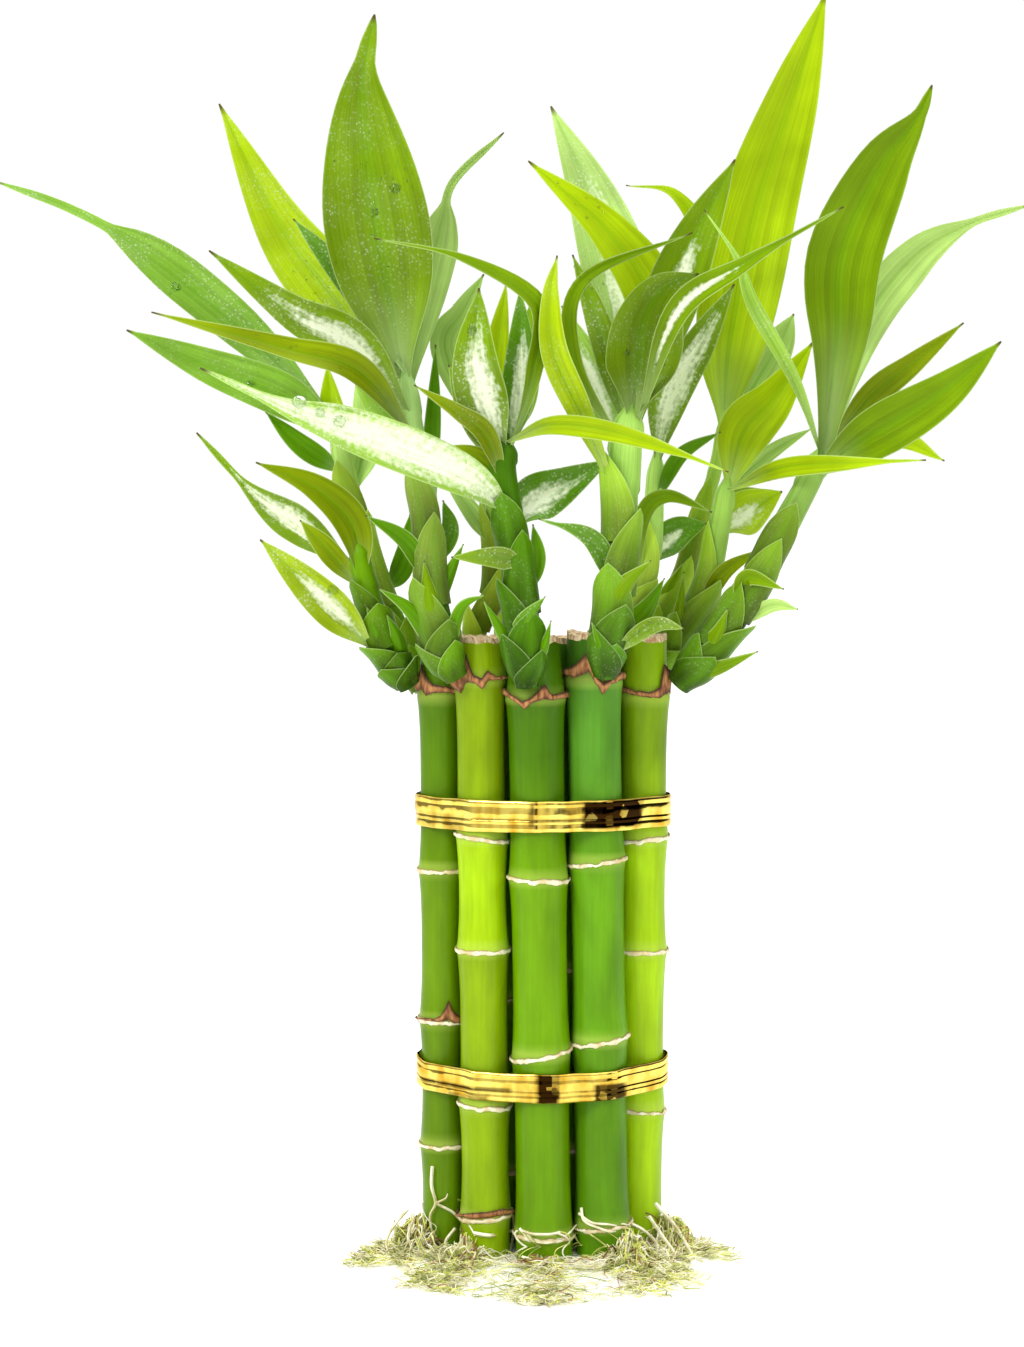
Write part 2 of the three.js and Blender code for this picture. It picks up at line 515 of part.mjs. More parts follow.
canes.forEach((cane, i) => {
  addPiece(`cane_${String(i + 1).padStart(2, "0")}`, caneSkin(cane, 0), cane.colour, 0.45, 0);
});
shoots.forEach(([name, stem, blades]) => {
  addPiece(name, toGeometry(shoot(stem, blades)), shootColours[name], 0.4, 0);
});
bands.forEach((entry) => {
  addPiece(entry.name, toGeometry(band(entry)), "#d9a520", 0.25, 1);
});
addPiece("root_mat", toGeometry(rootMat()), "#d9d79a", 0.85, 0);

export default group;
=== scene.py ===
import bpy
import bmesh
import math
import random
from mathutils import Matrix, Vector, noise
from mathutils.bvhtree import BVHTree


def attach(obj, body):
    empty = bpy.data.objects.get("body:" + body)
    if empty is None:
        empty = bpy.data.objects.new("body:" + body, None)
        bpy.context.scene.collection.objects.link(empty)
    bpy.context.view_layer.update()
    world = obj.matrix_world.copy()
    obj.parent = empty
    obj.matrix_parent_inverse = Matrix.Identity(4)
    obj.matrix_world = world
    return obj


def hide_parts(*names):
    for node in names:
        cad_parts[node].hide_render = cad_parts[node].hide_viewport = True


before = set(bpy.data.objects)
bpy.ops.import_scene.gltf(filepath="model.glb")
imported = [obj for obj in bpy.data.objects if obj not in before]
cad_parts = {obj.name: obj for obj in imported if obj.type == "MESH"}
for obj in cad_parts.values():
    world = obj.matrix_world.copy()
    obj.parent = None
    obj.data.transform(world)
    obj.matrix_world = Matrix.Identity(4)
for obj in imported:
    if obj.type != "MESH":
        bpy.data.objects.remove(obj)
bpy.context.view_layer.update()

# Lucky bamboo: a tied bundle of cut canes with leafy shoots, two gold foil ties and roots.
# Everything is worked out in millimetres and turned to metres where a mesh is made.

mm = 0.001
draw = random.Random(21)


# ---- small helpers

def hexToLinear(code, alpha=1.0):
    parts = [int(code[i:i + 2], 16) / 255 for i in (1, 3, 5)]
    return [c / 12.92 if c <= 0.04045 else ((c + 0.055) / 1.055) ** 2.4 for c in parts] + [alpha]


def wire(tree, node, inputs):
    for name, value in inputs.items():
        if isinstance(value, bpy.types.NodeSocket):
            tree.links.new(value, node.inputs[name])
        else:
            node.inputs[name].default_value = value


def addNode(tree, kind, inputs=None, **settings):
    node = tree.nodes.new(kind)
    for name, value in settings.items():
        setattr(node, name, value)
    wire(tree, node, inputs or {})
    return node


def startMaterial(name):
    material = bpy.data.materials.new(name)
    material.use_nodes = True
    return material, material.node_tree, material.node_tree.nodes["Principled BSDF"]


def softStep(low, high, value):
    part = max(0.0, min(1.0, (value - low) / (high - low)))
    return part * part * (3 - 2 * part)


# a point given as it is seen from the front, [across, up, depth], as in the part's source
view = {"eye": Vector((-7.6, -675, 187.5)), "pitch": 3.68, "lens": 72.16, "sensor": 36}


def seen(point):
    onPlane = Vector((point[0], 0, point[1]))
    return view["eye"] + (onPlane - view["eye"]) * (1 - point[2] / view["eye"].y)


# a smooth curve through points, at a part t of the way
def through(points, t):
    last = len(points) - 1
    span = min(int(t * last), last - 1)
    s = t * last - span
    b, c = points[span], points[span + 1]
    a = points[span - 1] if span > 0 else b * 2 - c
    d = points[span + 2] if span + 2 <= last else c * 2 - b
    square, cube = 2 * a - 5 * b + 4 * c - d, 3 * b - a - 3 * c + d
    return 0.5 * (2 * b + (c - a) * s + square * s * s + cube * s ** 3)


def direction(points, t):
    return (through(points, min(1, t + 0.01)) - through(points, max(0, t - 0.01))).normalized()


# a grid whose every vertex is put at place(s, t), with s and t from 0 to 1
# mark names a layer of numbers and the function that gives them across and along the grid
def placeGrid(bm, across, along, place, closed=False, mark=None):
    if mark:
        layer = bm.verts.layers.float.get(mark[0]) or bm.verts.layers.float.new(mark[0])
    made = bmesh.ops.create_grid(bm, x_segments=across, y_segments=along, size=1)["verts"]
    for vert in made:
        s, t = (vert.co.x + 1) / 2, (vert.co.y + 1) / 2
        if mark:
            vert[layer] = mark[1](s, t)
        vert.co = place(s, t) * mm
    if closed:
        bmesh.ops.remove_doubles(bm, verts=made, dist=0.00002)
        made = [v for v in made if v.is_valid]
    return made


def closeEnds(bm, verts):
    edges = {e for v in verts for e in v.link_edges if e.is_boundary}
    bmesh.ops.holes_fill(bm, edges=list(edges), sides=0)


def finishPiece(name, bm, materials, smoothAngle=45, recalc=True):
    if recalc:
        bmesh.ops.recalc_face_normals(bm, faces=bm.faces)
    mesh = bpy.data.meshes.new(name)
    bm.to_mesh(mesh)
    bm.free()
    for material in materials:
        mesh.materials.append(material)
    mesh.shade_smooth()
    mesh.set_sharp_from_angle(angle=math.radians(smoothAngle))
    piece = bpy.data.objects.new(name, mesh)
    bpy.context.scene.collection.objects.link(piece)
    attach(piece, "root")
    return piece


# ---- helpers for materials

# a number carried from one range to another
def ranged(tree, value, low, high, start=0.0, end=1.0):
    return addNode(tree, "ShaderNodeMapRange", {"Value": value, "From Min": low, "From Max": high,
                                                "To Min": start, "To Max": end}).outputs[0]


def maths(tree, operation, *values):
    total = values[0]
    for value in values[1:]:
        total = addNode(tree, "ShaderNodeMath", {0: total, 1: value}, operation=operation).outputs[0]
    return total


def mixed(tree, amount, below, above):
    return addNode(tree, "ShaderNodeMix", {0: amount, 6: below, 7: above}, data_type="RGBA").outputs[2]


def scaled(tree, colour, amount):
    return addNode(tree, "ShaderNodeVectorMath", {0: colour, "Scale": amount}, operation="SCALE").outputs[0]


# noise whose scale is in cells a metre on Object coordinates
def grainy(tree, place, scale, detail, stretch=(1, 1, 1)):
    mapped = addNode(tree, "ShaderNodeMapping", {"Vector": place, "Scale": stretch}).outputs[0]
    return addNode(tree, "ShaderNodeTexNoise", {"Vector": mapped, "Scale": scale,
                                                "Detail": detail}).outputs["Fac"]


def twoTone(tree, value, low, lowColour, high, highColour):
    ramp = addNode(tree, "ShaderNodeValToRGB", {"Fac": value})
    for element, position, colour in zip(ramp.color_ramp.elements, (low, high), (lowColour, highColour)):
        element.position = position
        element.color = hexToLinear(colour)
    return ramp.outputs[0]


def bumped(tree, height, strength, distance, **inputs):
    return addNode(tree, "ShaderNodeBump", {"Height": height, "Strength": strength, "Distance": distance,
                                            **inputs}).outputs[0]


def attribute(tree, name):
    return addNode(tree, "ShaderNodeAttribute", attribute_name=name).outputs


def objectPlace(tree):
    return addNode(tree, "ShaderNodeTexCoord").outputs["Object"]


# ---- materials

# glare is the white of the painted sheen, a painted highlight mixed into the leaf colour
leafLook = {"margin": "#d4e8a0", "tip": "#4a3818", "base": "#d2eaa4", "rib": "#5a9408", "dew": "#f2fad8",
            "paintedGlare": "#f4fadc", "roughness": 0.34, "refraction": 1.4, "specular": 0.1, "patches": 60.0,
            "specks": 900.0, "dewDrops": 1100.0, "dewClumps": 130.0}


# living leaf: a waxy cuticle over green tissue, with a pale painted sheen, a painted highlight, on the leaves
# that face the light
def makeLeaf():
    material, tree, shader = startMaterial("leafTissue")
    tint = attribute(tree, "tint")
    place = addNode(tree, "ShaderNodeUVMap", uv_map="bladeMap").outputs[0]
    spot = objectPlace(tree)
    across, along = addNode(tree, "ShaderNodeSeparateXYZ", {0: place}).outputs[:2]
    # share of a blade, gap from its margin in mm, and how much painted sheen it takes
    looks = attribute(tree, "bladeLook")["Vector"]
    blade, margin, paintedShine = addNode(tree, "ShaderNodeSeparateXYZ", {0: looks}).outputs

    def times(*values):
        return maths(tree, "MULTIPLY", *values)

    def over(below, colour, amount):
        return mixed(tree, amount, below, hexToLinear(colour))

    # fine parallel veins, broad streaks and cloudy patches
    fine = grainy(tree, place, 1.6, 3.0, (26, 1.0, 1))
    broad = grainy(tree, place, 1.3, 1.0, (5, 0.7, 1))
    patch = grainy(tree, spot, leafLook["patches"], 2.0)
    shade = times(ranged(tree, fine, 0.35, 0.65, 0.85, 1.1), ranged(tree, broad, 0.3, 0.7, 0.83, 1.12),
                  ranged(tree, patch, 0.3, 0.7, 0.8, 1.12), ranged(tree, along, 0.25, 0.7, 0.88, 1.0))
    offRib = maths(tree, "SUBTRACT", across, 0.5)
    away = addNode(tree, "ShaderNodeMath", {0: offRib}, operation="ABSOLUTE").outputs[0]
    ribbed = over(scaled(tree, tint["Color"], shade), leafLook["rib"],
                  times(ranged(tree, away, 0.01, 0.13, 0.3, 0.0), blade))
    nearRib = ranged(tree, away, 0.1, 0.45, 1.0, 0.35)
    nearBase = ranged(tree, along, 0.0, 0.3, 0.85, 0.0)
    based = over(ribbed, leafLook["base"], times(nearBase, nearBase, blade, nearRib))
    # painted highlight: a soft white painted sheen with a grainy edge on the leaves that face the light
    speck = grainy(tree, spot, leafLook["specks"], 2.0)
    cloud = grainy(tree, place, 2.0, 3.0, (4, 2.2, 1))

    def reach(value, middle, least, gain):
        wide = addNode(tree, "ShaderNodeMath", {0: paintedShine, 1: gain, 2: least},
                       operation="MULTIPLY_ADD").outputs[0]
        part = maths(tree, "DIVIDE", maths(tree, "SUBTRACT", value, middle), wide)
        return times(part, part)

    gap = maths(tree, "ADD", reach(across, 0.55, 0.1, 0.26), reach(along, 0.4, 0.12, 0.4),
                ranged(tree, speck, 0.3, 0.7, -0.45, 0.45), ranged(tree, cloud, 0.3, 0.7, -0.55, 0.55))
    paintedSheen = times(ranged(tree, gap, 0.1, 1.5, 0.92, 0.0), ranged(tree, paintedShine, 0.05, 0.2))
    withPaintedSheen = over(based, leafLook["paintedGlare"], paintedSheen)
    # a film of fine dew in clumps on the wet leaves
    drops = addNode(tree, "ShaderNodeTexVoronoi", {"Vector": spot, "Scale": leafLook["dewDrops"]})
    clump = grainy(tree, spot, leafLook["dewClumps"], 3.0)
    wet = times(ranged(tree, clump, 0.4, 0.66, 0.08, 1.0),
                ranged(tree, drops.outputs["Distance"], 0.1, 0.38, 1.0, 0.1), tint["Alpha"])
    dewy = over(withPaintedSheen, leafLook["dew"], times(wet, 0.75))
    # thin pale margin and a dry brown tip
    edged = over(dewy, leafLook["margin"], times(ranged(tree, margin, 0.08, 0.34, 0.36, 0.0), blade))
    tipped = over(edged, leafLook["tip"], times(ranged(tree, along, 0.965, 0.99, 0.0, 0.9), blade))
    # the veins run closer together towards the tip and lie flatter there
    veins = times(fine, ranged(tree, margin, 0.3, 3.5), ranged(tree, along, 0.5, 0.85, 1.0, 0.04))
    ridges = bumped(tree, veins, 0.35, 0.0003)
    wire(tree, shader, {"Base Color": tipped, "Normal": bumped(tree, wet, 0.6, 0.0004, Normal=ridges),
                        "Roughness": leafLook["roughness"], "IOR": leafLook["refraction"],
                        "Specular IOR Level": leafLook["specular"]})
    return material


skinLook = {"fibres": 1400.0, "mottles": 170.0, "topFrom": 0.095, "topTo": 0.125, "bloom": "#c4d860",
            "roughness": 0.34, "specular": 0.12, "coat": 0.03, "coatRoughness": 0.15}


# living cane: smooth waxy skin over fibre, with fine streaks along it and a bloom below the nodes
def makeCaneSkin(number, colour, topColour):
    material, tree, shader = startMaterial(f"caneSkin{number:02d}")
    spot = objectPlace(tree)
    fibre = grainy(tree, spot, skinLook["fibres"], 3.0, (1, 1, 0.03))
    mottle = grainy(tree, spot, skinLook["mottles"], 6.0, (1, 1, 0.3))
    shade = maths(tree, "MULTIPLY", ranged(tree, fibre, 0.3, 0.7, 0.93, 1.05),
                  ranged(tree, mottle, 0.3, 0.7, 0.8, 1.16))
    height = addNode(tree, "ShaderNodeSeparateXYZ", {0: spot}).outputs["Z"]
    high = ranged(tree, height, skinLook["topFrom"], skinLook["topTo"])
    plain = mixed(tree, high, hexToLinear(colour), hexToLinear(topColour))
    # the stretch tone brightens or darkens each stretch: partly own colour, partly painted highlight and
    # painted shade
    toned = scaled(tree, scaled(tree, plain, shade), attribute(tree, "stretchToneWithPaintedLight")["Fac"])
    pale = mixed(tree, attribute(tree, "nodeShare")["Fac"], toned, hexToLinear(skinLook["bloom"]))
    wire(tree, shader, {"Base Color": pale, "Normal": bumped(tree, fibre, 0.15, 0.0002),
                        "Roughness": skinLook["roughness"], "Specular IOR Level": skinLook["specular"],
                        "Coat Weight": skinLook["coat"], "Coat Roughness": skinLook["coatRoughness"]})
    return material


# dry plant matter, either the cut end of a cane or the papery torn sheath left at a node,
# with its grain in mm
def makeDry(name, light, dark, edge, grain, stretchUp=0.4):
    material, tree, shader = startMaterial(name)
    speck = grainy(tree, objectPlace(tree), 1000 / grain, 4.0, (1, 1, stretchUp))
    # torn and pinched edges have gone darker
    edged = mixed(tree, attribute(tree, "worn")["Fac"], twoTone(tree, speck, 0.36, dark, 0.6, light),
                  hexToLinear(edge))
    wire(tree, shader, {"Base Color": edged, "Normal": bumped(tree, speck, 0.5, 0.0003), "Roughness": 0.8})
    return material


foilLook = {"low": "#c4982a", "high": "#f6dc6a", "paintedDarkReflection": "#2c1a06", "folds": 260.0, "shards": 420.0}


# metallised film: a thin bright metal layer on plastic, drawn into ribs and slightly creased
def makeGoldFoil():
    material, tree, shader = startMaterial("goldFoil")
    spot = objectPlace(tree)
    folds = grainy(tree, spot, foilLook["folds"], 2.0, (1, 1, 0.5))
    tone = twoTone(tree, folds, 0.3, foilLook["low"], 0.62, foilLook["high"])
    # painted reflection: crumpled dark stretches painted into the film's colour, standing in for the dark
    # side of the room that the film mirrors
    shards = addNode(tree, "ShaderNodeTexVoronoi", {"Vector": spot, "Scale": foilLook["shards"]})
    broken = ranged(tree, shards.outputs["Color"], 0.25, 0.4, 0.55, 1.0)
    dark = maths(tree, "MULTIPLY", attribute(tree, "foilPaintedReflection")["Fac"], broken)
    film = mixed(tree, dark, tone, hexToLinear(foilLook["paintedDarkReflection"]))
    wire(tree, shader, {"Base Color": film, "Normal": bumped(tree, folds, 0.06, 0.001), "Metallic": 1.0,
                        "Roughness": 0.1})
    return material


# water: clear drops standing on the wax of the leaves
def makeWater():
    material, tree, shader = startMaterial("waterDrops")
    ripple = addNode(tree, "ShaderNodeTexNoise", {"Scale": 40.0}).outputs["Fac"]
    wire(tree, shader, {"Base Color": hexToLinear("#f7fff0"), "Normal": bumped(tree, ripple, 0.02, 0.0001),
                        "Roughness": 0.03, "IOR": 1.33, "Transmission Weight": 1.0})
    return material


leafTissue = makeLeaf()
cutEnd = makeDry("cutCaneFibre", "#e6cfa8", "#a97c50", "#8a5c34", 0.7)
paperyCollar = makeDry("driedSheathPaper", "#f6f0d2", "#d6c08c", "#7c4c26", 2.6)
tornSheath = makeDry("tornBrownSheath", "#bd8450", "#7c4622", "#3c1c0a", 1.0, stretchUp=0.25)
goldFoil = makeGoldFoil()
waterDrops = makeWater()
print("materials made")


# ---- canes

caneLook = {"sides": 44, "rise": 1.4, "ridge": 0.3, "ridgeHalf": 1.2, "flare": 0.34, "flareHalf": 6,
            "waist": 0.2, "groove": 0.06, "cutBand": 1.5, "stubTaper": 0.03, "fray": 0.9, "rind": 0.5,
            "sunkRim": 0.35, "sunk": 0.25}

# foot, cut top, length, radius, node heights and colour, as in the part's source
# the tones per stretch are partly the cane's own colour and partly painted highlight and painted shade
canes = [
    {"foot": (-24.8, -3), "head": (-25.3, -3.2), "length": 153, "radius": 5.5,
     "nodes": [25.7, 57.3, 95.2, 138.5], "tilts": [0, -0.3, 0, 0], "tonesWithPaintedLight": [0.72, 0.68, 0.78, 0.78, 0.72],
     "colour": "#6f9804", "topColour": "#5a8404"},
    {"foot": (-14.1, -11.4), "head": (-15.6, -11.6), "length": 154, "radius": 6,
     "nodes": [9.6, 37.6, 76.4, 104.4, 143.3], "tilts": [0.5, -0.4, 0, -1.0, 0],
     "tonesWithPaintedLight": [0.66, 0.62, 0.6, 0.94, 0.68, 0.78],
     "colour": "#a4cc08", "topColour": "#96b80a"},
    {"foot": (0.4, -14), "head": (-2.1, -14.2), "length": 154, "radius": 6.9,
     "nodes": [5.6, 50.8, 94.5, 139], "tilts": [-0.4, 1.4, -0.3, 0], "tonesWithPaintedLight": [0.82, 0.78, 0.88, 0.84, 0.8],
     "colour": "#70a203", "topColour": "#4a7805"},
    {"foot": (15.1, -11.4), "head": (12.2, -11.2), "length": 155, "radius": 6.7,
     "nodes": [7.4, 53.9, 98.4, 143], "tilts": [0.7, 1.1, 0.9, 0], "tonesWithPaintedLight": [0.8, 0.78, 1.0, 0.95, 0.5],
     "colour": "#62980e", "topColour": "#579026"},
    {"foot": (24.4, -1.2), "head": (25.4, -4), "length": 154, "radius": 5.9,
     "nodes": [34.4, 74.8, 103, 138.2], "tilts": [-0.7, 0, 0.7, 0], "tonesWithPaintedLight": [0.95, 0.92, 0.92, 0.9, 1.05],
     "colour": "#a6d010", "topColour": "#7a9e0e"},
    {"foot": (-10.5, 2.6), "head": (-10.6, 2.4), "length": 151, "radius": 6.2,
     "nodes": [18, 62, 137], "colour": "#6a9a08", "topColour": "#5a8a08"},
    {"foot": (4.5, 1.2), "head": (4.3, 1), "length": 153, "radius": 6.3,
     "nodes": [24, 70, 140], "colour": "#5c9208", "topColour": "#4c8408"},
    {"foot": (17.4, 8.4), "head": (17.6, 8), "length": 150, "radius": 5.8,
     "nodes": [15, 66, 136], "colour": "#7cae10", "topColour": "#6a9c10"},
    {"foot": (-22, 11), "head": (-22.4, 11.2), "length": 151, "radius": 5.8,
     "nodes": [21, 68, 137], "colour": "#78a60c", "topColour": "#68960c"},
    {"foot": (-7.5, 17), "head": (-7.7, 17.2), "length": 152, "radius": 6.1,
     "nodes": [30, 79, 139], "colour": "#6c9c0c", "topColour": "#5c8c0c"},
    {"foot": (6.2, 16.6), "head": (6.4, 16.8), "length": 150, "radius": 5.9,
     "nodes": [12, 60, 135], "colour": "#62960c", "topColour": "#54860c"},
]


def caneCentre(cane, height):
    part = height / cane["length"]
    x = cane["foot"][0] + (cane["head"][0] - cane["foot"][0]) * part
    y = cane["foot"][1] + (cane["head"][1] - cane["foot"][1]) * part
    return Vector((x, y, height))


# height of a node's ring at a turn round the cane: some rings are tilted
def ringHeight(cane, index, turn):
    tilts = cane.get("tilts", [0] * len(cane["nodes"]))
    return cane["nodes"][index] + tilts[index] * math.cos(turn)


# the skin's radius: a ridge and a flare at each node, drawn in a little between nodes
def caneRadius(cane, height, turn):
    last = cane["nodes"][-1]
    radius = cane["radius"] * (1 - caneLook["stubTaper"] * softStep(last + 1, last + 5, height))
    stops = [0] + cane["nodes"] + [cane["length"] + 8]
    for low, high in zip(stops, stops[1:]):
        if low <= height <= high:
            radius -= caneLook["waist"] * math.sin(math.pi * (height - low) / (high - low))
    for index in range(len(cane["nodes"])):
        off = height - ringHeight(cane, index, turn)
        radius += caneLook["ridge"] * math.exp(-(off / caneLook["ridgeHalf"]) ** 2)
        radius += caneLook["flare"] * math.exp(-(off / caneLook["flareHalf"]) ** 2)
    return radius + caneLook["groove"] * math.sin(turn * 5 + height * 0.02)


# each stretch between nodes has a tone of its own, partly the cane's own colour and partly painted highlight
# and painted shade
def toneWithPaintedLightAt(cane, height):
    tonesWithPaintedLight = cane.get("tonesWithPaintedLight", [0.85] * (len(cane["nodes"]) + 1))
    value = tonesWithPaintedLight[0]
    for node, after in zip(cane["nodes"], tonesWithPaintedLight[1:]):
        value += (after - value) * softStep(node - 0.6, node + 0.6, height)
    return value


def buildCane(number, cane):
    bm = bmesh.new()
    near = bm.verts.layers.float.new("nodeShare")
    tone = bm.verts.layers.float.new("stretchToneWithPaintedLight")
    rows = int(cane["length"] / caneLook["rise"])

    def place(s, t):
        turn = s * 2 * math.pi
        height = t * cane["length"]
        fray = noise.noise(Vector((math.cos(turn) * 2.2, math.sin(turn) * 2.2, number * 3.1)))
        fray += 0.5 * noise.noise(Vector((math.cos(turn) * 11, math.sin(turn) * 11, number)))
        height += fray * caneLook["fray"] * softStep(0.975, 1, t)
        out = Vector((math.cos(turn), math.sin(turn), 0))
        return caneCentre(cane, height) + out * caneRadius(cane, height, turn)

    wall = placeGrid(bm, caneLook["sides"], rows, place, closed=True)
    for vert in wall:
        height = vert.co.z / mm
        gap = min(abs(height - node - 0.6) for node in cane["nodes"])
        vert[near] = 0.35 * (1 - softStep(0.4, 2.6, gap))
        vert[tone] = toneWithPaintedLightAt(cane, height)
    for face in bm.faces:
        if face.calc_center_median().z / mm > cane["length"] - caneLook["cutBand"]:
            face.material_index = 1
    closeEnds(bm, wall)
    # the cut top: a sunk, slightly rough face inside a thin rind
    top = [f for f in bm.faces if len(f.verts) > 4 and f.calc_center_median().z > 0.1]
    bmesh.ops.inset_region(bm, faces=top, thickness=caneLook["rind"] * mm, depth=0)
    rough = bmesh.ops.inset_region(bm, faces=top, thickness=caneLook["sunkRim"] * mm,
                                   depth=-caneLook["sunk"] * mm)["faces"]
    inner = bmesh.ops.poke(bm, faces=top)["faces"]
    for face in inner + rough:
        face.material_index = 1
    skin = makeCaneSkin(number, cane["colour"], cane["topColour"])
    piece = finishPiece(f"cane{number:02d}Body", bm, [skin, cutEnd])
    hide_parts(f"cane_{number:02d}")


for number, cane in enumerate(canes, 1):
    buildCane(number, cane)
print("canes made")


# ---- dried collars at the nodes, and the torn brown sheaths round the feet of the shoots

collarLook = {"sides": 120, "rows": 6, "height": 1.05, "stand": 0.42, "ragged": 0.62, "wall": 0.2}
tearLook = {"sides": 150, "rows": 8, "tuck": 0.22, "backHeight": 1.8, "wall": 0.22, "hiddenHeight": 2.2,
            "hiddenRagged": 1.4}


# skin that was laid as a grid gets a wall thickness
def thicken(bm, made, wall):
    faces = list({f for v in made for f in v.link_faces})
    bmesh.ops.recalc_face_normals(bm, faces=faces)
    bmesh.ops.solidify(bm, geom=faces, thickness=wall * mm)


def addCollar(bm, cane, index, height, ragged, phase):
    def edge(turn, side):
        jag = noise.noise(Vector((math.cos(turn) * 3.1, math.sin(turn) * 3.1, phase + side * 9)))
        fine = noise.noise(Vector((math.cos(turn) * 14, math.sin(turn) * 14, phase + side * 5)))
        return side * height * 0.5 + ragged * (jag * 0.8 + fine * 0.5)

    def place(s, t):
        turn = s * 2 * math.pi
        top, low = edge(turn, 1), edge(turn, -1)
        part = softStep(0, 1, t)
        level = ringHeight(cane, index, turn) + low + (top - low) * part
        bulge = math.sin(math.pi * t)
        out = Vector((math.cos(turn), math.sin(turn), 0))
        radius = caneRadius(cane, level, turn) + collarLook["stand"] * (0.25 + 0.75 * bulge)
        return caneCentre(cane, level) + out * radius

    def worn(s, t):
        return 0.9 * softStep(0.72, 0.95, t) + 0.35 * (1 - softStep(0, 0.15, t))

    made = placeGrid(bm, collarLook["sides"], collarLook["rows"], place, closed=True, mark=("worn", worn))
    thicken(bm, made, collarLook["wall"])


def buildCollars():
    bm = bmesh.new()
    for number, cane in enumerate(canes):
        for index in range(len(cane["nodes"]) - 1):
            addCollar(bm, cane, index, collarLook["height"], collarLook["ragged"], draw.uniform(0, 6))
    piece = finishPiece("nodeCollars", bm, [paperyCollar], recalc=False)


# torn sheaths of the front canes as they look from the front: the cane, then its edges as
# [across, lower edge, upper edge]
tears = [
    (0, [[-31.5, 139, 141.5], [-30.4, 138.4, 146.4], [-29.2, 137.2, 143.4], [-27.4, 138.6, 141.4],
         [-24, 138.9, 140.8], [-21.5, 138.2, 140.4], [-19, 139, 141]]),
    (0, [[-31, 56.4, 57.2], [-27, 55.8, 56.8], [-25.6, 55.6, 57.6], [-24.6, 55.4, 59.4],
         [-23.6, 55, 61.6], [-22.6, 54.8, 58.6], [-19.6, 54.8, 56.4]]),
    (1, [[-22, 139.6, 143], [-20.3, 137.8, 143.4], [-18.8, 140, 149], [-17.2, 141.2, 144],
         [-15.2, 139.2, 143], [-13.8, 141.6, 145], [-12, 142.2, 143.4], [-9.2, 142.6, 143.6]]),
    (1, [[-20, 5.8, 6.8], [-17.3, 5, 7.2], [-14, 5.4, 7.4], [-10.5, 6, 8.2], [-8, 6.6, 7.8]]),
    (2, [[-9.2, 138, 140.6], [-7.2, 137, 138.9], [-4.6, 134.4, 137.2], [-2.6, 136.4, 138.1],
         [0.6, 136.6, 141.6], [2, 137, 138.8], [5.4, 137.4, 139.6]]),
    (3, [[4.4, 143.4, 144.8], [8, 142.2, 146], [11.6, 143, 149.8], [13.2, 141, 143.8], [15, 137.8, 141.8],
         [17, 141, 142.8], [19.6, 142, 144.6]]),
    (4, [[19.4, 139, 141.6], [23, 138.2, 139.9], [27, 137.6, 139.4], [29.4, 137, 140.8], [30.6, 136.6, 146.6],
         [31.8, 138, 145]]),
]


# a torn sheath lies on the cane's front from edge to edge and runs on behind as a plain ring
def addTear(bm, which, edges, phase):
    cane = canes[which]

    def edgeAt(across, side):
        for low, high in zip(edges, edges[1:]):
            if across <= high[0]:
                part = max(0.0, (across - low[0]) / (high[0] - low[0]))
                return low[side] + (high[side] - low[side]) * part ** (1.4 if side == 1 else 1.0)
        return edges[-1][side]

    def place(s, t):
        turn = s * 2 * math.pi
        out = Vector((math.cos(turn), math.sin(turn), 0))
        radius = caneRadius(cane, edges[0][1], turn)
        flat = caneCentre(cane, edges[0][1]) + out * radius
        near = 1 + flat.y / -view["eye"].y
        across = view["eye"].x + (flat.x - view["eye"].x) / near
        wear = noise.noise(Vector((math.cos(turn) * 12, math.sin(turn) * 12, phase)))
        if out.y < 0.25:
            low, high = edgeAt(across, 1), edgeAt(across, 2)
            low += tearLook["tuck"] * (high - low)
        else:
            low = (edges[0][1] + edges[-1][1]) / 2
            high = low + tearLook["backHeight"]
        level = low + (high - low) * t + wear * 0.5 * (t - 0.3)
        level = view["eye"].z + (level - view["eye"].z) * near
        stand = 0.3 + 0.5 * math.sin(math.pi * t) + 0.5 * t * t + 0.25 * wear
        return caneCentre(cane, level) + out * (caneRadius(cane, level, turn) + stand)

    def worn(s, t):
        return max(0.95 * softStep(0.6, 0.92, t), 0.8 * (1 - softStep(0.04, 0.28, t)))

    made = placeGrid(bm, tearLook["sides"], tearLook["rows"], place, closed=True, mark=("worn", worn))
    thicken(bm, made, tearLook["wall"])


def buildTears():
    bm = bmesh.new()
    for index, (which, edges) in enumerate(tears):
        addTear(bm, which, edges, index * 2.3)
    # the canes behind the front row have plain ragged rings
    for index, cane in enumerate(canes[5:]):
        addCollar(bm, cane, len(cane["nodes"]) - 1, tearLook["hiddenHeight"], tearLook["hiddenRagged"],
                  index * 1.7)
    piece = finishPiece("tornSheaths", bm, [tornSheath], recalc=False)


buildCollars()
buildTears()
print("collars and torn sheaths made")


# ---- gold foil ties

tieLook = {"clearance": 0.45, "thick": 0.5, "rib": 0.16, "crown": 0.12, "ribs": [0, 0.26, 0.4, 0.8, 1],
           "stations": 260, "across": 44, "ripple": 0.03, "crumple": 0.2, "outline": 720, "soft": 0.5,
           "softUp": 0.05}

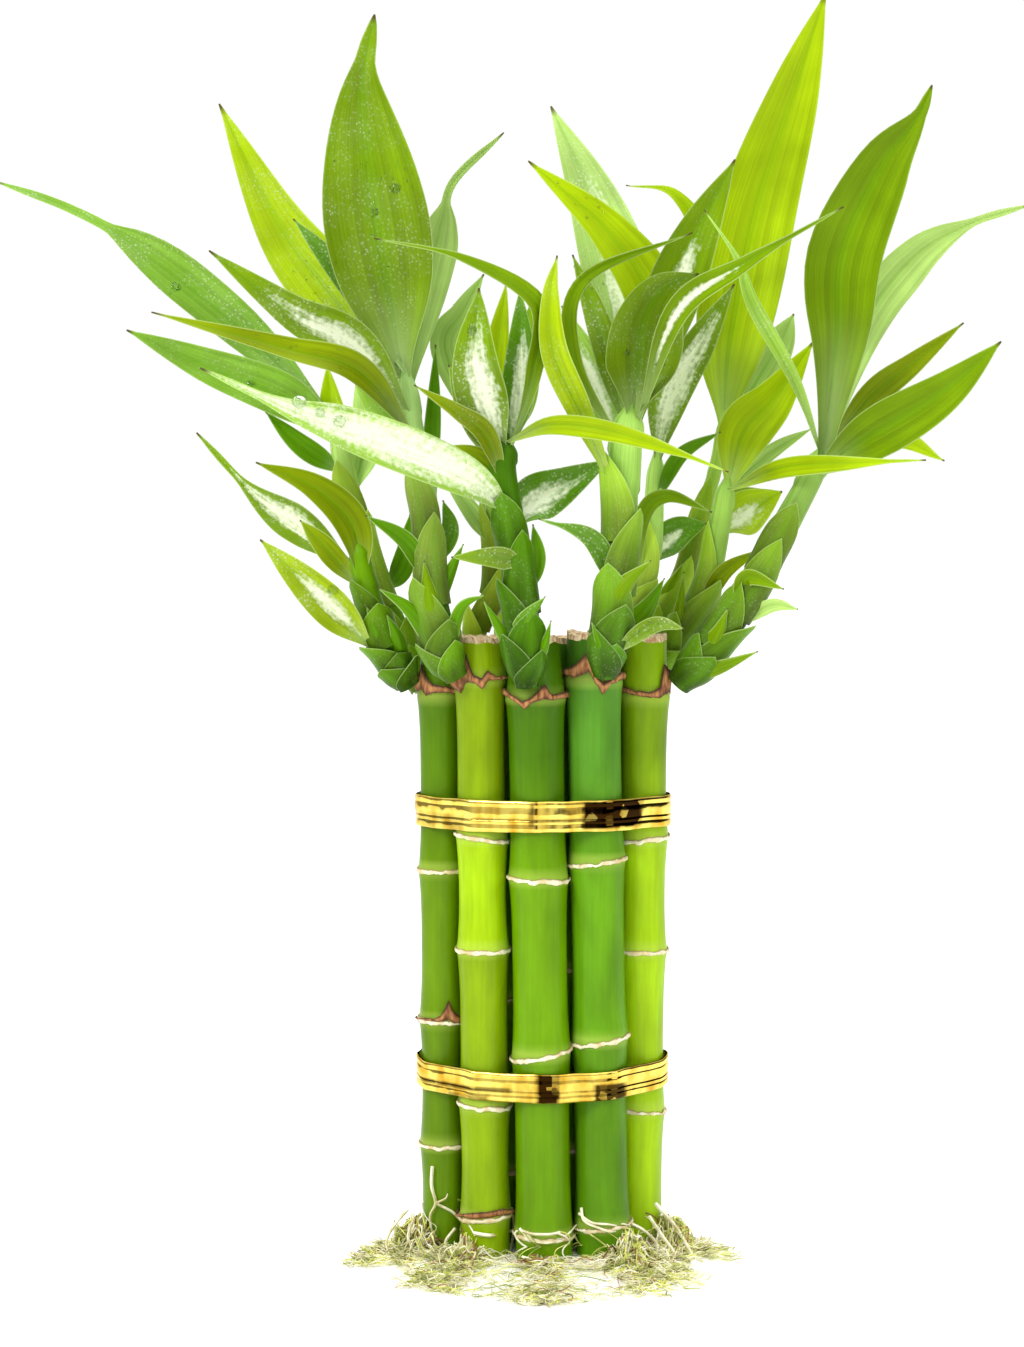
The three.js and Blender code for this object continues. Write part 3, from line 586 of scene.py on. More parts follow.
ties = [
    # shade gives the dark stretches of painted reflection as [left, right, low, high, strength], the heights
    # as shares
    {"name": "tieUpper", "node": "tie_upper", "middle": 110.4, "half": 3.9, "drop": 0, "phase": 0.3,
     "shade": [[10, 25, 0.1, 0.95, 1.0], [-31, -20, 0.0, 0.5, 0.35], [-3.6, -2.2, 0.2, 0.9, 0.7],
               [-18, 10, 0.36, 0.44, 0.6]]},
    {"name": "tieLower", "node": "tie_lower", "middle": 45.2, "half": 3.6, "drop": 1.8, "phase": 2.1,
     "shade": [[-1.5, 4, 0.0, 1.0, 1.0], [13, 21, 0.0, 0.6, 0.95], [-31, -8, 0.34, 0.5, 0.75],
               [-24, -14, 0.0, 0.2, 0.6]]},
]


def outlinePoint(height, turn, extra):
    out = Vector((math.cos(turn), math.sin(turn), 0))
    points = [caneCentre(cane, height) + out * (cane["radius"] + extra) for cane in canes]
    return max(points, key=lambda point: point.dot(out))


# an even walk round the bundle's outline
def outlineWalk(height, extra, count):
    steps = tieLook["outline"]
    turns = [2 * math.pi * k / steps for k in range(steps)]
    raw = [outlinePoint(height, turn, extra) for turn in turns]
    lengths = [0]
    for a, b in zip(raw, raw[1:] + raw[:1]):
        lengths.append(lengths[-1] + (b - a).length)
    walk, k = [], 0
    for i in range(count):
        goal = lengths[-1] * i / count
        while lengths[k + 1] < goal:
            k += 1
        part = (goal - lengths[k]) / max(1e-6, lengths[k + 1] - lengths[k])
        walk.append((raw[k].lerp(raw[(k + 1) % steps], part), turns[k] + part * 2 * math.pi / steps))
    return walk


# 1 between low and high, falling softly to 0 past each
def within(value, low, high, soft):
    return softStep(low - soft, low + soft, value) * (1 - softStep(high - soft, high + soft, value))


def buildTie(tie):
    bm = bmesh.new()
    count = tieLook["stations"]
    walk = outlineWalk(tie["middle"], tieLook["clearance"], count)

    # s runs along the band, t round its section: the flat back first, then the ribbed face
    def place(s, t):
        point, turn = walk[int(round(s * count)) % count]
        out = Vector((math.cos(turn), math.sin(turn), 0))
        crease = noise.noise(Vector((s * 26, tie["phase"], 0)))
        narrow = 1 - 0.1 * abs(noise.noise(Vector((s * 9, tie["phase"] + 3, 0))))
        half = tie["half"] * narrow
        if t < 0.25:
            height, depth = half * (1 - 8 * t), 0.0
        else:
            part = (t - 0.25) / 0.75
            height = half * (2 * part - 1)
            below = max(edge for edge in tieLook["ribs"][:-1] if edge <= part + 1e-6)
            above = min(edge for edge in tieLook["ribs"][1:] if edge > below)
            fold = (part - below) / (above - below)
            depth = tieLook["thick"] + tieLook["rib"] * min(1, 8 * min(fold, 1 - fold)) ** 0.5
            depth += tieLook["crown"] * math.sin(math.pi * fold)
            creased = tieLook["ripple"] + tieLook["crumple"] * softStep(0.4, 0.95, -out.x)
            depth += creased * noise.noise(Vector((s * 90, part * 4, tie["phase"])))
        base = point + out * depth
        level = tie["middle"] - tie["drop"] * max(0, -math.sin(turn)) + height + crease * 0.2
        return Vector((base.x, base.y, level))

    # painted reflection: the dark stretches as seen from the front are marked for the film's colour
    shadeLayer = bm.verts.layers.float.new("foilPaintedReflection")
    made = placeGrid(bm, count, tieLook["across"], place, closed=True)
    for vert in made:
        part = (vert.co.z / mm - tie["middle"] + tie["drop"] + tie["half"]) / (2 * tie["half"])
        if vert.co.y > 0:
            continue
        across = vert.co.x / mm / (1 - vert.co.y / mm / view["eye"].y) + 0.5 * noise.noise(vert.co * 700)
        for left, right, low, high, strength in tie["shade"]:
            inside = within(across, left, right, tieLook["soft"]) * within(part, low, high, tieLook["softUp"])
            vert[shadeLayer] = max(vert[shadeLayer], inside * strength)
    # the twisted end at the back
    back = outlinePoint(tie["middle"], math.pi / 2, tieLook["clearance"] + 0.5)
    path = [back + Vector(step) for step in ((0, -0.2, 0), (0, 3, 0.6), (5, 5, 1.6), (10, 4.6, -0.6))]

    def tail(s, t):
        centre, along = through(path, t), direction(path, t)
        side = along.cross(Vector((0, 0, 1))).normalized()
        other = side.cross(along)
        angle = s * 2 * math.pi
        radius = 1.0 * (0.72 + 0.28 * abs(math.cos(angle - t * 16)))
        return centre + (side * math.cos(angle) + other * math.sin(angle)) * radius

    rod = placeGrid(bm, 14, 40, tail, closed=True)
    closeEnds(bm, rod)
    piece = finishPiece(tie["name"], bm, [goldFoil], smoothAngle=60)
    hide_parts(tie["node"])


for tie in ties:
    buildTie(tie)
print("ties made")


# ---- shoots as in the part's source: name, stem points with radii, then blades with midrib points,
# width, roll at base and tip, and cup, all as seen from the front

shoots = [
    ["shoot_01",
     [[-33.6, 141, -6, 3.4], [-38, 148.5, -8, 4], [-42, 158, -9, 3.6], [-44.5, 168, -10, 3], [-46.5, 178, -10,
      2.4]],
     [
      [[[-45, 166, -10], [-47.5, 181, -12], [-57, 190.5, -15], [-71.5, 196.8, -18]], 9.5, 10, 30, 12],
      [[[-43, 151, -10], [-56.5, 164, -20], [-70.5, 177.6, -28]], 10, 5, 10, 10],
      [[[-46, 166, -9], [-54, 175.5, -8], [-60.5, 182.4, -6]], 6, -10, 0, 10],
      [[[-46.5, 170, -9], [-60, 180, 0], [-72, 189, 4], [-86.2, 204.2, 8]], 10, 10, 20, 12],
      [[[-37, 147, -9], [-41, 153, -13], [-44, 161, -14]], 7, 0, 0, -20],
      [[[-36, 144, -8], [-36, 152, -13], [-39, 159, -14]], 6, 10, 0, -20]]],
    ["shoot_02",
     [[-21.5, 143, -18.4, 3.2], [-25.2, 150, -19.6, 4.2], [-27.6, 162, -20, 3.9], [-28.6, 176, -18, 3.3],
      [-29.6, 190, -16, 3.2], [-32.6, 206, -14, 3], [-34.6, 222, -13, 3]],
     [
      [[[-34.6, 218, -13], [-38.5, 240, -16], [-42.6, 265, -19], [-44.6, 289, -18], [-41.5, 307, -14]], 26.5,
       0, 10, 10],
      [[[-34.4, 214, -11], [-52, 238, -2], [-65.5, 256, 4], [-80, 285.2, 8]], 17.5, -10, 10, 12],
      [[[-34.6, 219, -15], [-47, 239, -10], [-54, 248, -10], [-61.8, 257, -8]], 7, 20, 20, 10],
      [[[-33.2, 208, -15], [-47, 225, -24], [-62, 233.5, -30], [-82.8, 249.2, -36]], 12.5, 10, 20, 14],
      [[[-32.8, 204, -14], [-46, 219.5, -34], [-64, 225, -40], [-97.2, 234, -46]], 8, 15, 30, 14],
      [[[-34, 212, -13], [-29.5, 236, -4], [-25, 256, 2], [-22, 266.5, 2], [-9.6, 278.2, 0]], 11, 0, 50, 10],
      [[[-32, 203, -14], [-39, 209, -7], [-47.5, 219, -2]], 9, 0, 0, 10],
      [[[-29.2, 186, -17], [-27.4, 206, -8], [-26.6, 226, -6]], 4.5, 0, 10, 10],
      [[[-28, 166, -19], [-34, 177, -22], [-44.2, 183.6, -24]], 5, 10, 10, 14],
      [[[-28, 170, -18], [-23.2, 179.5, -16], [-24.8, 187.4, -15]], 5, 0, 10, 10],
      [[[-27, 160, -20], [-22.8, 170, -20], [-19.7, 176.5, -20]], 4, 0, 10, -15],
      [[[-27, 151, -21], [-28.2, 161, -25.5], [-29.6, 172.4, -24.5]], 8.5, 0, 0, -20],
      [[[-26, 150, -21], [-33, 160, -24], [-41, 165.4, -24]], 5, 10, 10, -15],
      [[[-24, 147, -21], [-20.6, 160, -25], [-14.4, 163.8, -26]], 3.6, 0, 20, -10]]],
    ["shoot_03",
     [[-4, 141, -24, 3.2], [-4.4, 149, -25.5, 4.4], [-5.2, 160, -24, 4], [-6.8, 173, -22, 3.7], [-8.6, 184,
      -20, 3.6], [-9.8, 195, -19, 3.4], [-9.4, 204, -18, 3.8]],
     [
      [[[-9, 185, -20], [-20, 193.5, -30], [-47, 204.5, -36], [-64, 210.5, -40], [-85.2, 220.2, -44]], 12, 10,
       20, 8],
      [[[-9.6, 190, -19], [-14, 203, -24], [-21, 209, -28], [-32, 216, -32]], 6, 20, 30, 12],
      [[[-9, 188, -18], [-15.5, 197.5, -16], [-27, 200.6, -14]], 6, 0, 20, 10],
      [[[-9.6, 199, -19], [-16.4, 219, -23], [-15.8, 240, -26]], 13, -5, 0, 12],
      [[[-9.8, 197, -18], [-17.6, 208.5, -18], [-23.4, 221, -17]], 7, 0, 0, 10],
      [[[-8.6, 199, -18], [-5.6, 219, -17], [-5.6, 240, -14]], 9, 0, 0, 12],
      [[[-8, 201, -20], [-2.6, 219, -28], [-1.4, 236, -32], [-20, 247.4, -34], [-41.8, 252.2, -36]], 5.6, 40,
       10, 8],
      [[[-9, 202, -20], [2, 206.2, -28], [17, 204.6, -33], [33, 199.6, -36], [46.4, 194.4, -38]], 5.6, 20, 10,
       12],
      [[[-8, 180, -20], [-3, 186.5, -14], [5, 191, -8], [16.8, 197.4, -2]], 12.5, 0, -10, 10],
      [[[-5.6, 172, -24], [-12, 173.2, -30], [-22.8, 173.2, -36]], 5.6, 0, 0, 10],
      [[[-4, 163, -23], [-1.2, 173, -20], [-2.4, 181.4, -18]], 4.4, 0, 0, 10],
      [[[-4.4, 147, -26], [-4.4, 156, -30.5], [0.8, 163.4, -30]], 8, 0, 20, -20],
      [[[-4, 145, -26], [0, 150, -29], [2.2, 157.4, -29]], 4.4, 0, 0, -20],
      [[[-5, 145, -26], [-10.4, 155, -28], [-14.8, 162.4, -28]], 4.4, 0, 10, -20]]],
    ["shoot_04",
     [[15.6, 143.2, -20.6, 3.4], [16.6, 152, -22, 4.4], [18.4, 165, -22, 4.2], [19.4, 178, -20, 4.1], [19.9,
      190, -19, 4.2], [20.8, 202, -18, 4.2], [22, 212, -18, 3.4]],
     [
      [[[22, 208, -18], [23.6, 220, -21], [25, 231, -26], [29.5, 239.6, -28], [38.7, 243.6, -29]], 21, 0, 40,
       18],
      [[[22, 206, -15], [20, 236, -2], [13.2, 260, 6], [2, 284.6, 10]], 18, 0, 0, 10],
      [[[23.4, 206, -16], [27.5, 234, -10], [17, 253, -9], [-3.6, 271.2, -10]], 14.5, 10, 10, 12],
      [[[20, 200, -19], [7.6, 222, -26], [10, 242, -26], [37.2, 253.6, -24]], 4.6, 30, 20, 10],
      [[[20, 198, -17], [11.6, 219, -12], [4.8, 235.6, -8]], 10, 0, 0, 10],
      [[[21, 204, -17], [14.2, 230, -14], [7.4, 248.2, -14]], 7, 0, 10, 10],
      [[[18, 190, -20], [9.4, 209, -27], [2.8, 224, -31], [1.8, 238, -32], [3.6, 248, -31]], 7.4, 0, 20, 12],
      [[[23, 207, -18], [31, 235, -16], [38.4, 253.6, -17], [47.6, 271.6, -18]], 14.5, 0, 10, 12],
      [[[23.4, 206, -19], [33, 234, -32], [50, 246, -34], [74.6, 260, -36]], 6.4, 10, 10, 12],
      [[[18.4, 164, -22], [12.4, 177.5, -24], [-1, 182.8, -26]], 5.6, 10, 10, 12],
      [[[17, 153, -23], [19.6, 164, -28], [27.2, 172.4, -28]], 9, 0, 20, -20],
      [[[16, 146, -24], [14.6, 151, -27], [12.2, 157.2, -27]], 4, 0, 0, -20],
      [[[17, 149, -24], [27.5, 156.4, -27], [35.4, 155.4, -28]], 4.8, 20, 20, 12]]],
    ["shoot_05",
     [[34, 141.5, -6, 3.8], [40, 148, -8, 4.4], [46.4, 157, -9, 4.2], [52.5, 165.5, -10, 3.8], [57.2, 175,
      -10, 3.4], [62.6, 185, -10, 3.3], [67.6, 194.5, -10, 3.2], [70, 201, -10, 3]],
     [
      [[[69.6, 195.6, -10.7], [73, 226, -14], [74, 248, -16], [83.5, 269.4, -18], [92.2, 281.2, -16], [96.2,
       289.8, -14]], 20, 0, 30, 12],
      [[[67.3, 194.2, -10.4], [83, 204.4, -20], [100, 214.6, -26], [114, 226.8, -30]], 13.5, 10, 10, 10],
      [[[69.6, 198, -9], [81.5, 213, -4], [92, 221.4, -2], [104.6, 231.4, 0]], 7.5, 0, 10, 12],
      [[[68.6, 196, -8], [87, 203, 2], [100.2, 197.2, 6]], 6, 10, 20, 12],
      [[[69.1, 196.3, -9.8], [79.5, 230, 6], [92, 247.4, 12], [106, 256, 16], [120.8, 260.5, 18]], 12.5, 0,
       40, 10],
      [[[69.2, 198.6, -11.4], [62, 217.6, -24], [52, 235.6, -26], [48, 247.4, -26], [40, 259.2, -26]], 5, 40,
       30, 10],
      [[[49, 160, -10], [51, 168.2, -15], [60.4, 165.2, -16]], 5, 10, 20, 12],
      [[[48, 156, -10], [57, 161.2, -12], [64, 160.2, -12]], 4, 10, 20, 12],
      [[[36, 144, -9], [44, 145.4, -13], [54, 149.6, -16]], 5, 10, 10, -12],
      [[[38, 146, -9], [43.4, 153, -14.5], [46.4, 160.4, -15]], 6.5, 0, 0, -20]]],
    ["shoot_06",
     [[-30, 140, 11.2, 3.4], [-35, 150, 14, 3.6], [-41.5, 168, 16, 3], [-46.8, 184, 16, 2.8], [-50, 199, 15,
      2.7], [-50.5, 209, 15, 2.6]],
     [
      [[[-50, 203, 15], [-64, 213, 12], [-84, 221, 8], [-103.4, 229.6, 2]], 12, 0, 10, 12],
      [[[-50.4, 205, 16], [-73, 228, 22], [-100, 249.6, 20], [-116.4, 259, 20], [-135.6, 266.2, 20]], 13, 0,
       50, 10],
      [[[-49, 194, 15], [-60, 201, 14], [-69, 209.4, 14]], 6, 0, 10, 10],
      [[[-50.2, 203, 17], [-52.4, 210, 22], [-53.6, 221, 24]], 7, 0, 0, 10],
      [[[-40, 165, 17], [-35, 172, 22], [-33, 184, 26]], 7, 30, 20, 10],
      [[[-47.6, 188, 16], [-44, 204, 22], [-46, 219, 28]], 9, 0, 0, 12]]],
    ["shoot_07",
     [[-18.2, 137, 1, 2.3], [-18, 147, 1, 2.3], [-16, 156, 1, 2.6], [-12.4, 165, 0, 2.6], [-12, 178, -2, 2.4],
      [-12.2, 191, -3, 2.3], [-12.6, 203, -2, 2.2]],
     [
      [[[-12.4, 198, -2], [-24, 224, 2], [-20, 234, 2], [-14.6, 243.4, 2]], 8, 0, 10, 10],
      [[[-12.6, 198, -2], [-11.6, 222, -4], [-9, 241.4, -4]], 7, 0, 0, 10],
      [[[-12.4, 176, -4], [-18, 185, -2], [-24.5, 192.5, 2]], 5, 0, 10, 12]]],
    ["shoot_08",
     [[11.6, 141, 0, 2.8], [14, 150, -1, 3], [19, 157.6, 0, 3.3], [23.4, 164, 2, 3.2], [27, 174, 4, 2.7], [28,
      188, 5, 2.5], [28.6, 201, 5, 2.4]],
     [
      [[[28.4, 196, 5], [31.4, 213, 4], [39.4, 227, 2], [47.6, 241, 0]], 11, 0, 0, 14],
      [[[28, 187, 5], [34, 198.4, 0], [44.4, 204.4, -4]], 4.4, 20, 10, 12],
      [[[23.2, 164, 2], [24.6, 183, -2], [31, 188.6, -2], [42.4, 184.4, -3]], 5, 30, 10, 12],
      [[[19, 153, 1], [26, 160, -5], [30.6, 168, -5]], 7, 0, 10, -18],
      [[[26, 171, 5], [33, 179, 12], [41, 181.6, 16]], 9, 0, 0, 12]]],
    ["shoot_09",
     [[25, 137, 9.4, 3], [29, 147, 8, 3.6], [36.4, 157, 5, 3.4], [41.4, 168, 3, 3], [44.4, 182, 2, 2.8],
      [46.2, 194, 2, 2.6]],
     [
      [[[46.2, 190, 2], [50, 204, 0], [57.6, 212.6, 0], [67.2, 226.6, 2]], 14, 0, 0, 10],
      [[[45.8, 190, 1], [60, 195.6, -14], [78, 196.8, -28], [95.6, 197.4, -34]], 5.4, 20, 10, 12],
      [[[46, 190, 3], [57, 199.6, 6], [67, 205.2, 10]], 4.4, 10, 20, 12],
      [[[44, 179, 3], [51, 184.6, 10], [59.8, 189.6, 14]], 12, 0, 0, 12],
      [[[39.8, 160, 3], [45, 169.4, -1], [54.6, 175.2, -2]], 5, 10, 20, 12],
      [[[32, 151, 6.4], [34, 158, 1], [35.4, 169.6, 0]], 5, 0, 0, -18]]],
    ["shoot_10",
     [[14.2, 136, 17.6, 3.2], [20, 146, 18, 3.4], [29, 157, 18, 3.2], [35, 168, 18, 2.6], [39, 182, 19, 2.2],
      [43.6, 197, 20, 1.8], [45, 210, 20, 1.8]],
     [
      [[[45, 205, 20], [46.4, 226, 20], [52.6, 258, 22], [62, 288, 24], [69.8, 312.4, 26]], 22, 0, 10, 10],
      [[[44.6, 203, 20], [41, 246, 34], [33, 262.6, 36], [20.6, 265.2, 36]], 5.6, 0, 30, 12],
      [[[44.8, 203, 21], [57, 223, 32], [62.4, 233.6, 38]], 10, 0, 0, 12],
      [[[31, 160, 18], [32, 165, 15], [35.4, 172, 14]], 6, 0, 0, -18],
      [[[38, 178, 19], [46, 186, 36], [56, 190, 54]], 9, 0, 10, 12]]],
    ["shoot_11",
     [[-8.4, 140, 26.4, 3], [-8, 150, 29, 3.4], [-8, 166, 30, 2.8], [-9, 184, 30, 2.6], [-10, 202, 30, 2.4]],
     [
      [[[-10, 193, 30], [-17, 214, 43], [-22, 236, 54]], 12, 0, 0, 12],
      [[[-9.8, 199, 30], [-6, 217, 42], [-3, 236, 52]], 12, 0, 0, 12],
      [[[-8.8, 178, 30], [-12, 188, 46], [-14, 197, 62]], 8, 0, 10, 12]]],
]


# ---- leafy shoots

shootLook = {"stemSides": 22, "stemRows": 60, "bladeAcross": 12, "bladeAlong": 30, "thickness": 0.5,
             "wave": 0.4, "groove": 0.35, "curl": 9, "clasp": 34, "bractCup": 2.2, "leastHalf": 0.22}

# part of the stem that each sheath covers, and the turn round it, 90 being the front
sheathLook = {"spread": 105, "flare": [0.7, 2.6], "wall": 0.24, "across": 14, "along": 12,
              "hue": (1.12, 0.98, 0.5),
              "spans": [(0.0, 0.17, 55), (0.02, 0.22, 130), (0.1, 0.3, 50), (0.19, 0.4, 125),
                        (0.32, 0.58, 65), (0.48, 0.76, 120)]}

# the greens are partly the leaves' own colour and partly painted light and shade: d is a darker copy for
# blades in shade, g a paler copy for blades in glare
tints = {"y": "#a6c408", "m": "#759804", "o": "#829804", "d": "#5c9006", "p": "#b2d670", "g": "#9cc844",
         "e": "#80b034"}

# for each shoot: its stem's colour at foot and top, a letter for each blade's green, partly the leaf's own
# colour and partly painted light and shade, and digits for each blade's dew, its white painted sheen and how
# long a thin tail it ends in
looks = {
    "shoot_01": ("#4a7a08", "#6b9a08", "oyomdd", "060300", "030500", "000200"),
    "shoot_02": ("#4c7a04", "#b4dc80", "mydmopgddddmdd", "33650040030000", "00040000000000",
                 "10000400000000"),
    "shoot_03": ("#3c6c06", "#487808", "goommdmydmdddd", "92075600760200", "90054400500000",
                 "10000011000000"),
    "shoot_04": ("#3f7406", "#a8d460", "mpymgmymmdmdm", "3600662105006", "0400300220000", "0000000011000"),
    "shoot_05": ("#4a7a08", "#8cb250", "mmoypgmpmm", "0000040000", "0000000000", "1000210000"),
    "shoot_06": ("#6c9c10", "#b4d870", "eedydp", "250002", "000000", "040000"),
    "shoot_07": ("#88b030", "#a8cc50", "pyp", "000", "000", "000"),
    "shoot_08": ("#88b82c", "#b8e070", "mdmdd", "60003", "60002", "00000"),
    "shoot_09": ("#5c8c0c", "#9fc857", "yypyom", "000500", "000300", "010000"),
    "shoot_10": ("#78a820", "#a8cc58", "yypmm", "00000", "00000", "01000"),
    "shoot_11": ("#80b020", "#98c040", "mmm", "000", "000", "000"),
}


# half width of a blade along it, drawn out to a fine point, and of a bract that clasps the stem
def bladeShape(t, tail, bract):
    if bract:
        return max(0.0, 1 - max(0, (t - 0.2) / 0.8) ** 1.7)
    body = 0.18 + 0.82 * math.sin(math.pi / 2 * min(1, t / 0.4))
    if t > 0.4:
        end = 0.975 - 0.085 * tail if tail else 1.0
        part = min(1, (t - 0.4) / (end - 0.4))
        body = (1 - part ** 1.7) ** (1.2 if tail else 1.0)
    thin = (0.15 + 0.02 * tail if tail else 0.03) * min(1, (1 - t) / 0.12) ** 0.6
    return (body ** 3 + thin ** 3) ** (1 / 3)


# grid for the leaf material: lay(s, t) gives each vertex its place, its spot on the blade's map
# and its look, and colourAt the tint at a part of the way along
def layLeaf(bm, layers, across, along, lay, colourAt):
    uvLayer, tintLayer, lookLayer = layers
    made = bmesh.ops.create_grid(bm, x_segments=across, y_segments=along, size=1)["verts"]
    uvOf = {}
    for vert in made:
        place, uvOf[vert], vert[lookLayer] = lay((vert.co.x + 1) / 2, (vert.co.y + 1) / 2)
        vert.co = place * mm
    for face in {f for v in made for f in v.link_faces}:
        for loop in face.loops:
            loop[uvLayer].uv = uvOf[loop.vert]
            loop[tintLayer] = colourAt(uvOf[loop.vert][1])
    return made


def closeForm(bm, made, gap):
    bmesh.ops.remove_doubles(bm, verts=made, dist=gap)
    made = [v for v in made if v.is_valid]
    closeEnds(bm, made)
    bmesh.ops.recalc_face_normals(bm, faces=list({f for v in made for f in v.link_faces}))


# the centre of a line at t with its direction, the side across it and the way at right angles to both
def axesAt(line, t):
    centre, along = through(line, t), direction(line, t)
    side = along.cross(Vector((0, -1, 0))).normalized()
    return centre, along, side, side.cross(along)


def stemLine(stem):
    return [seen(point) for point in stem], [Vector((point[3], 0, 0)) for point in stem]


def addBlade(bm, layers, spec, tint, dew, paintedSheen, tail, phase):
    points, width, rollBase, rollTip, cup = spec
    line = [seen(point) for point in points]
    bract = cup < 0
    length = sum((b - a).length for a, b in zip(line, line[1:]))
    colour = hexToLinear(tint, dew)

    def halfAt(t):
        return max(shootLook["leastHalf"], width / 2 * bladeShape(t, tail, bract))

    # off runs from margin to margin, over the upper face and back under it
    def place(off, t, over):
        centre, along, side, _ = axesAt(line, t)
        side = Matrix.Rotation(math.radians(rollBase + (rollTip - rollBase) * t), 3, along) @ side
        face = side.cross(along)
        half = halfAt(t)
        clasp = 0 if bract else shootLook["clasp"] * (1 - softStep(0, 0.3, t))
        cupping = cup * (shootLook["bractCup"] if bract else 1)
        bend = math.radians(cupping + shootLook["curl"] * (1 - t) + clasp)
        arc = abs(off) ** 1.6
        out = side * (off * half * math.cos(bend)) + face * (arc * half * math.sin(bend))
        swell = softStep(0.0, 0.15, t) * (1 - softStep(0.85, 1, t)) * min(1, (half / 4) ** 1.5)
        wave = noise.noise(Vector((t * length / 13, off * 1.2, phase)))
        ripple = wave * shootLook["wave"] * abs(off) * swell
        dent = -shootLook["groove"] * math.exp(-(off / 0.14) ** 2) * swell
        depth = shootLook["thickness"] / 2 * (1 - off ** 6) * min(1, half / 1.4)
        return centre + out + face * (ripple + dent + over * depth)

    # the look's third share is how much painted sheen, a painted highlight, the blade takes
    def lay(s, t):
        off = -1 if s > 0.999 or s < 0.001 else 1 - abs(4 * s - 2)
        look = (1, (1 - abs(off)) * halfAt(t), paintedSheen)
        return place(off, t, 1 if s < 0.5 else -1), ((off + 1) / 2, t), look

    closeForm(bm, layLeaf(bm, layers, shootLook["bladeAcross"] * 2, shootLook["bladeAlong"], lay,
                          lambda t: colour), 0.00001)


def addStem(bm, layers, stem, low, high):
    line, radii = stemLine(stem)

    def lay(s, t):
        centre, along, side, other = axesAt(line, t)
        angle = s * 2 * math.pi
        # sheaths wrap each other in turn, so the stem steps slightly along its length
        fold = (t * 5 + 0.7 * abs(2 * s - 1)) % 1
        ends = (0.62 + 0.38 * softStep(0, 0.12, t)) * (1 - 0.7 * softStep(0.9, 1, t))
        radius = through(radii, t).x * (1.04 - 0.12 * fold) * ends
        return centre + (side * math.cos(angle) + other * math.sin(angle)) * radius, (s * 3, t), (0, 9, 0)

    made = layLeaf(bm, layers, shootLook["stemSides"], shootLook["stemRows"], lay,
                   lambda t: (*low.lerp(high, softStep(0.25, 0.9, t)), 0))
    closeForm(bm, made, 0.00002)


# an overlapping sheath that wraps the stem over a span of it, opens towards turn and lifts off at its tip
def addSheath(bm, layers, stem, span, turn, flare, colour):
    line, radii = stemLine(stem)
    spread = math.radians(sheathLook["spread"])

    def lay(s, v):
        t = span[0] + (span[1] - span[0]) * v
        centre, along, side, other = axesAt(line, t)
        shape = max(0.0, 1 - v ** 1.9)
        angle = math.radians(turn) + (s * 2 - 1) * spread * shape
        foot = 0.72 + 0.28 * softStep(0, 0.1, t)
        radius = through(radii, t).x * 1.04 * foot + 0.3 + flare * v ** 2.4
        look = (1, (1 - abs(s * 2 - 1)) * 7 * (1 - v ** 1.9) + 0.1, 0)
        return centre + (side * math.cos(angle) + other * math.sin(angle)) * radius, (s, 0.3 + 0.6 * v), look

    # painted shade and light: darker where it is tucked under the one below, lighter towards its free tip
    made = layLeaf(bm, layers, sheathLook["across"], sheathLook["along"], lay,
                   lambda t: (*colour * (0.62 + 0.85 * softStep(0.35, 0.9, t)), 0.14))
    thicken(bm, made, sheathLook["wall"])


shootTrees = []


def buildShoot(shoot):
    name, stem, blades = shoot
    foot, top, greensWithPaintedLight, dews, paintedSheens, tails = looks[name]
    bm = bmesh.new()
    layers = (bm.loops.layers.uv.new("bladeMap"), bm.loops.layers.float_color.new("tint"),
              bm.verts.layers.float_vector.new("bladeLook"))
    low, high = Vector(hexToLinear(foot)[:3]), Vector(hexToLinear(top)[:3])
    addStem(bm, layers, stem, low, high)
    for start, end, turn in sheathLook["spans"]:
        tone = low.lerp(high, 0.5 * softStep(0.1, 0.8, end)) * draw.uniform(0.6, 1.15)
        tone *= Vector(sheathLook["hue"])
        reach, opens = draw.uniform(-0.03, 0.04), turn + draw.uniform(-25, 25)
        addSheath(bm, layers, stem, (start, end + reach), opens, draw.uniform(*sheathLook["flare"]), tone)
    # each blade's green carries painted light and shade, and its sheen digit a painted highlight
    for index, spec in enumerate(blades):
        addBlade(bm, layers, spec, tints[greensWithPaintedLight[index]], int(dews[index]) / 9, int(paintedSheens[index]) / 9,
                 int(tails[index]), index * 3.7)
    piece = finishPiece(name.replace("shoot_", "leafyShoot"), bm, [leafTissue], smoothAngle=50, recalc=False)
    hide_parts(name)
    shootTrees.append(BVHTree.FromPolygons([v.co for v in piece.data.vertices],
                                           [p.vertices for p in piece.data.polygons]))


for shoot in shoots:
    buildShoot(shoot)
print("shoots made")


# ---- water drops standing on the wet leaves, found by looking at them from the lens

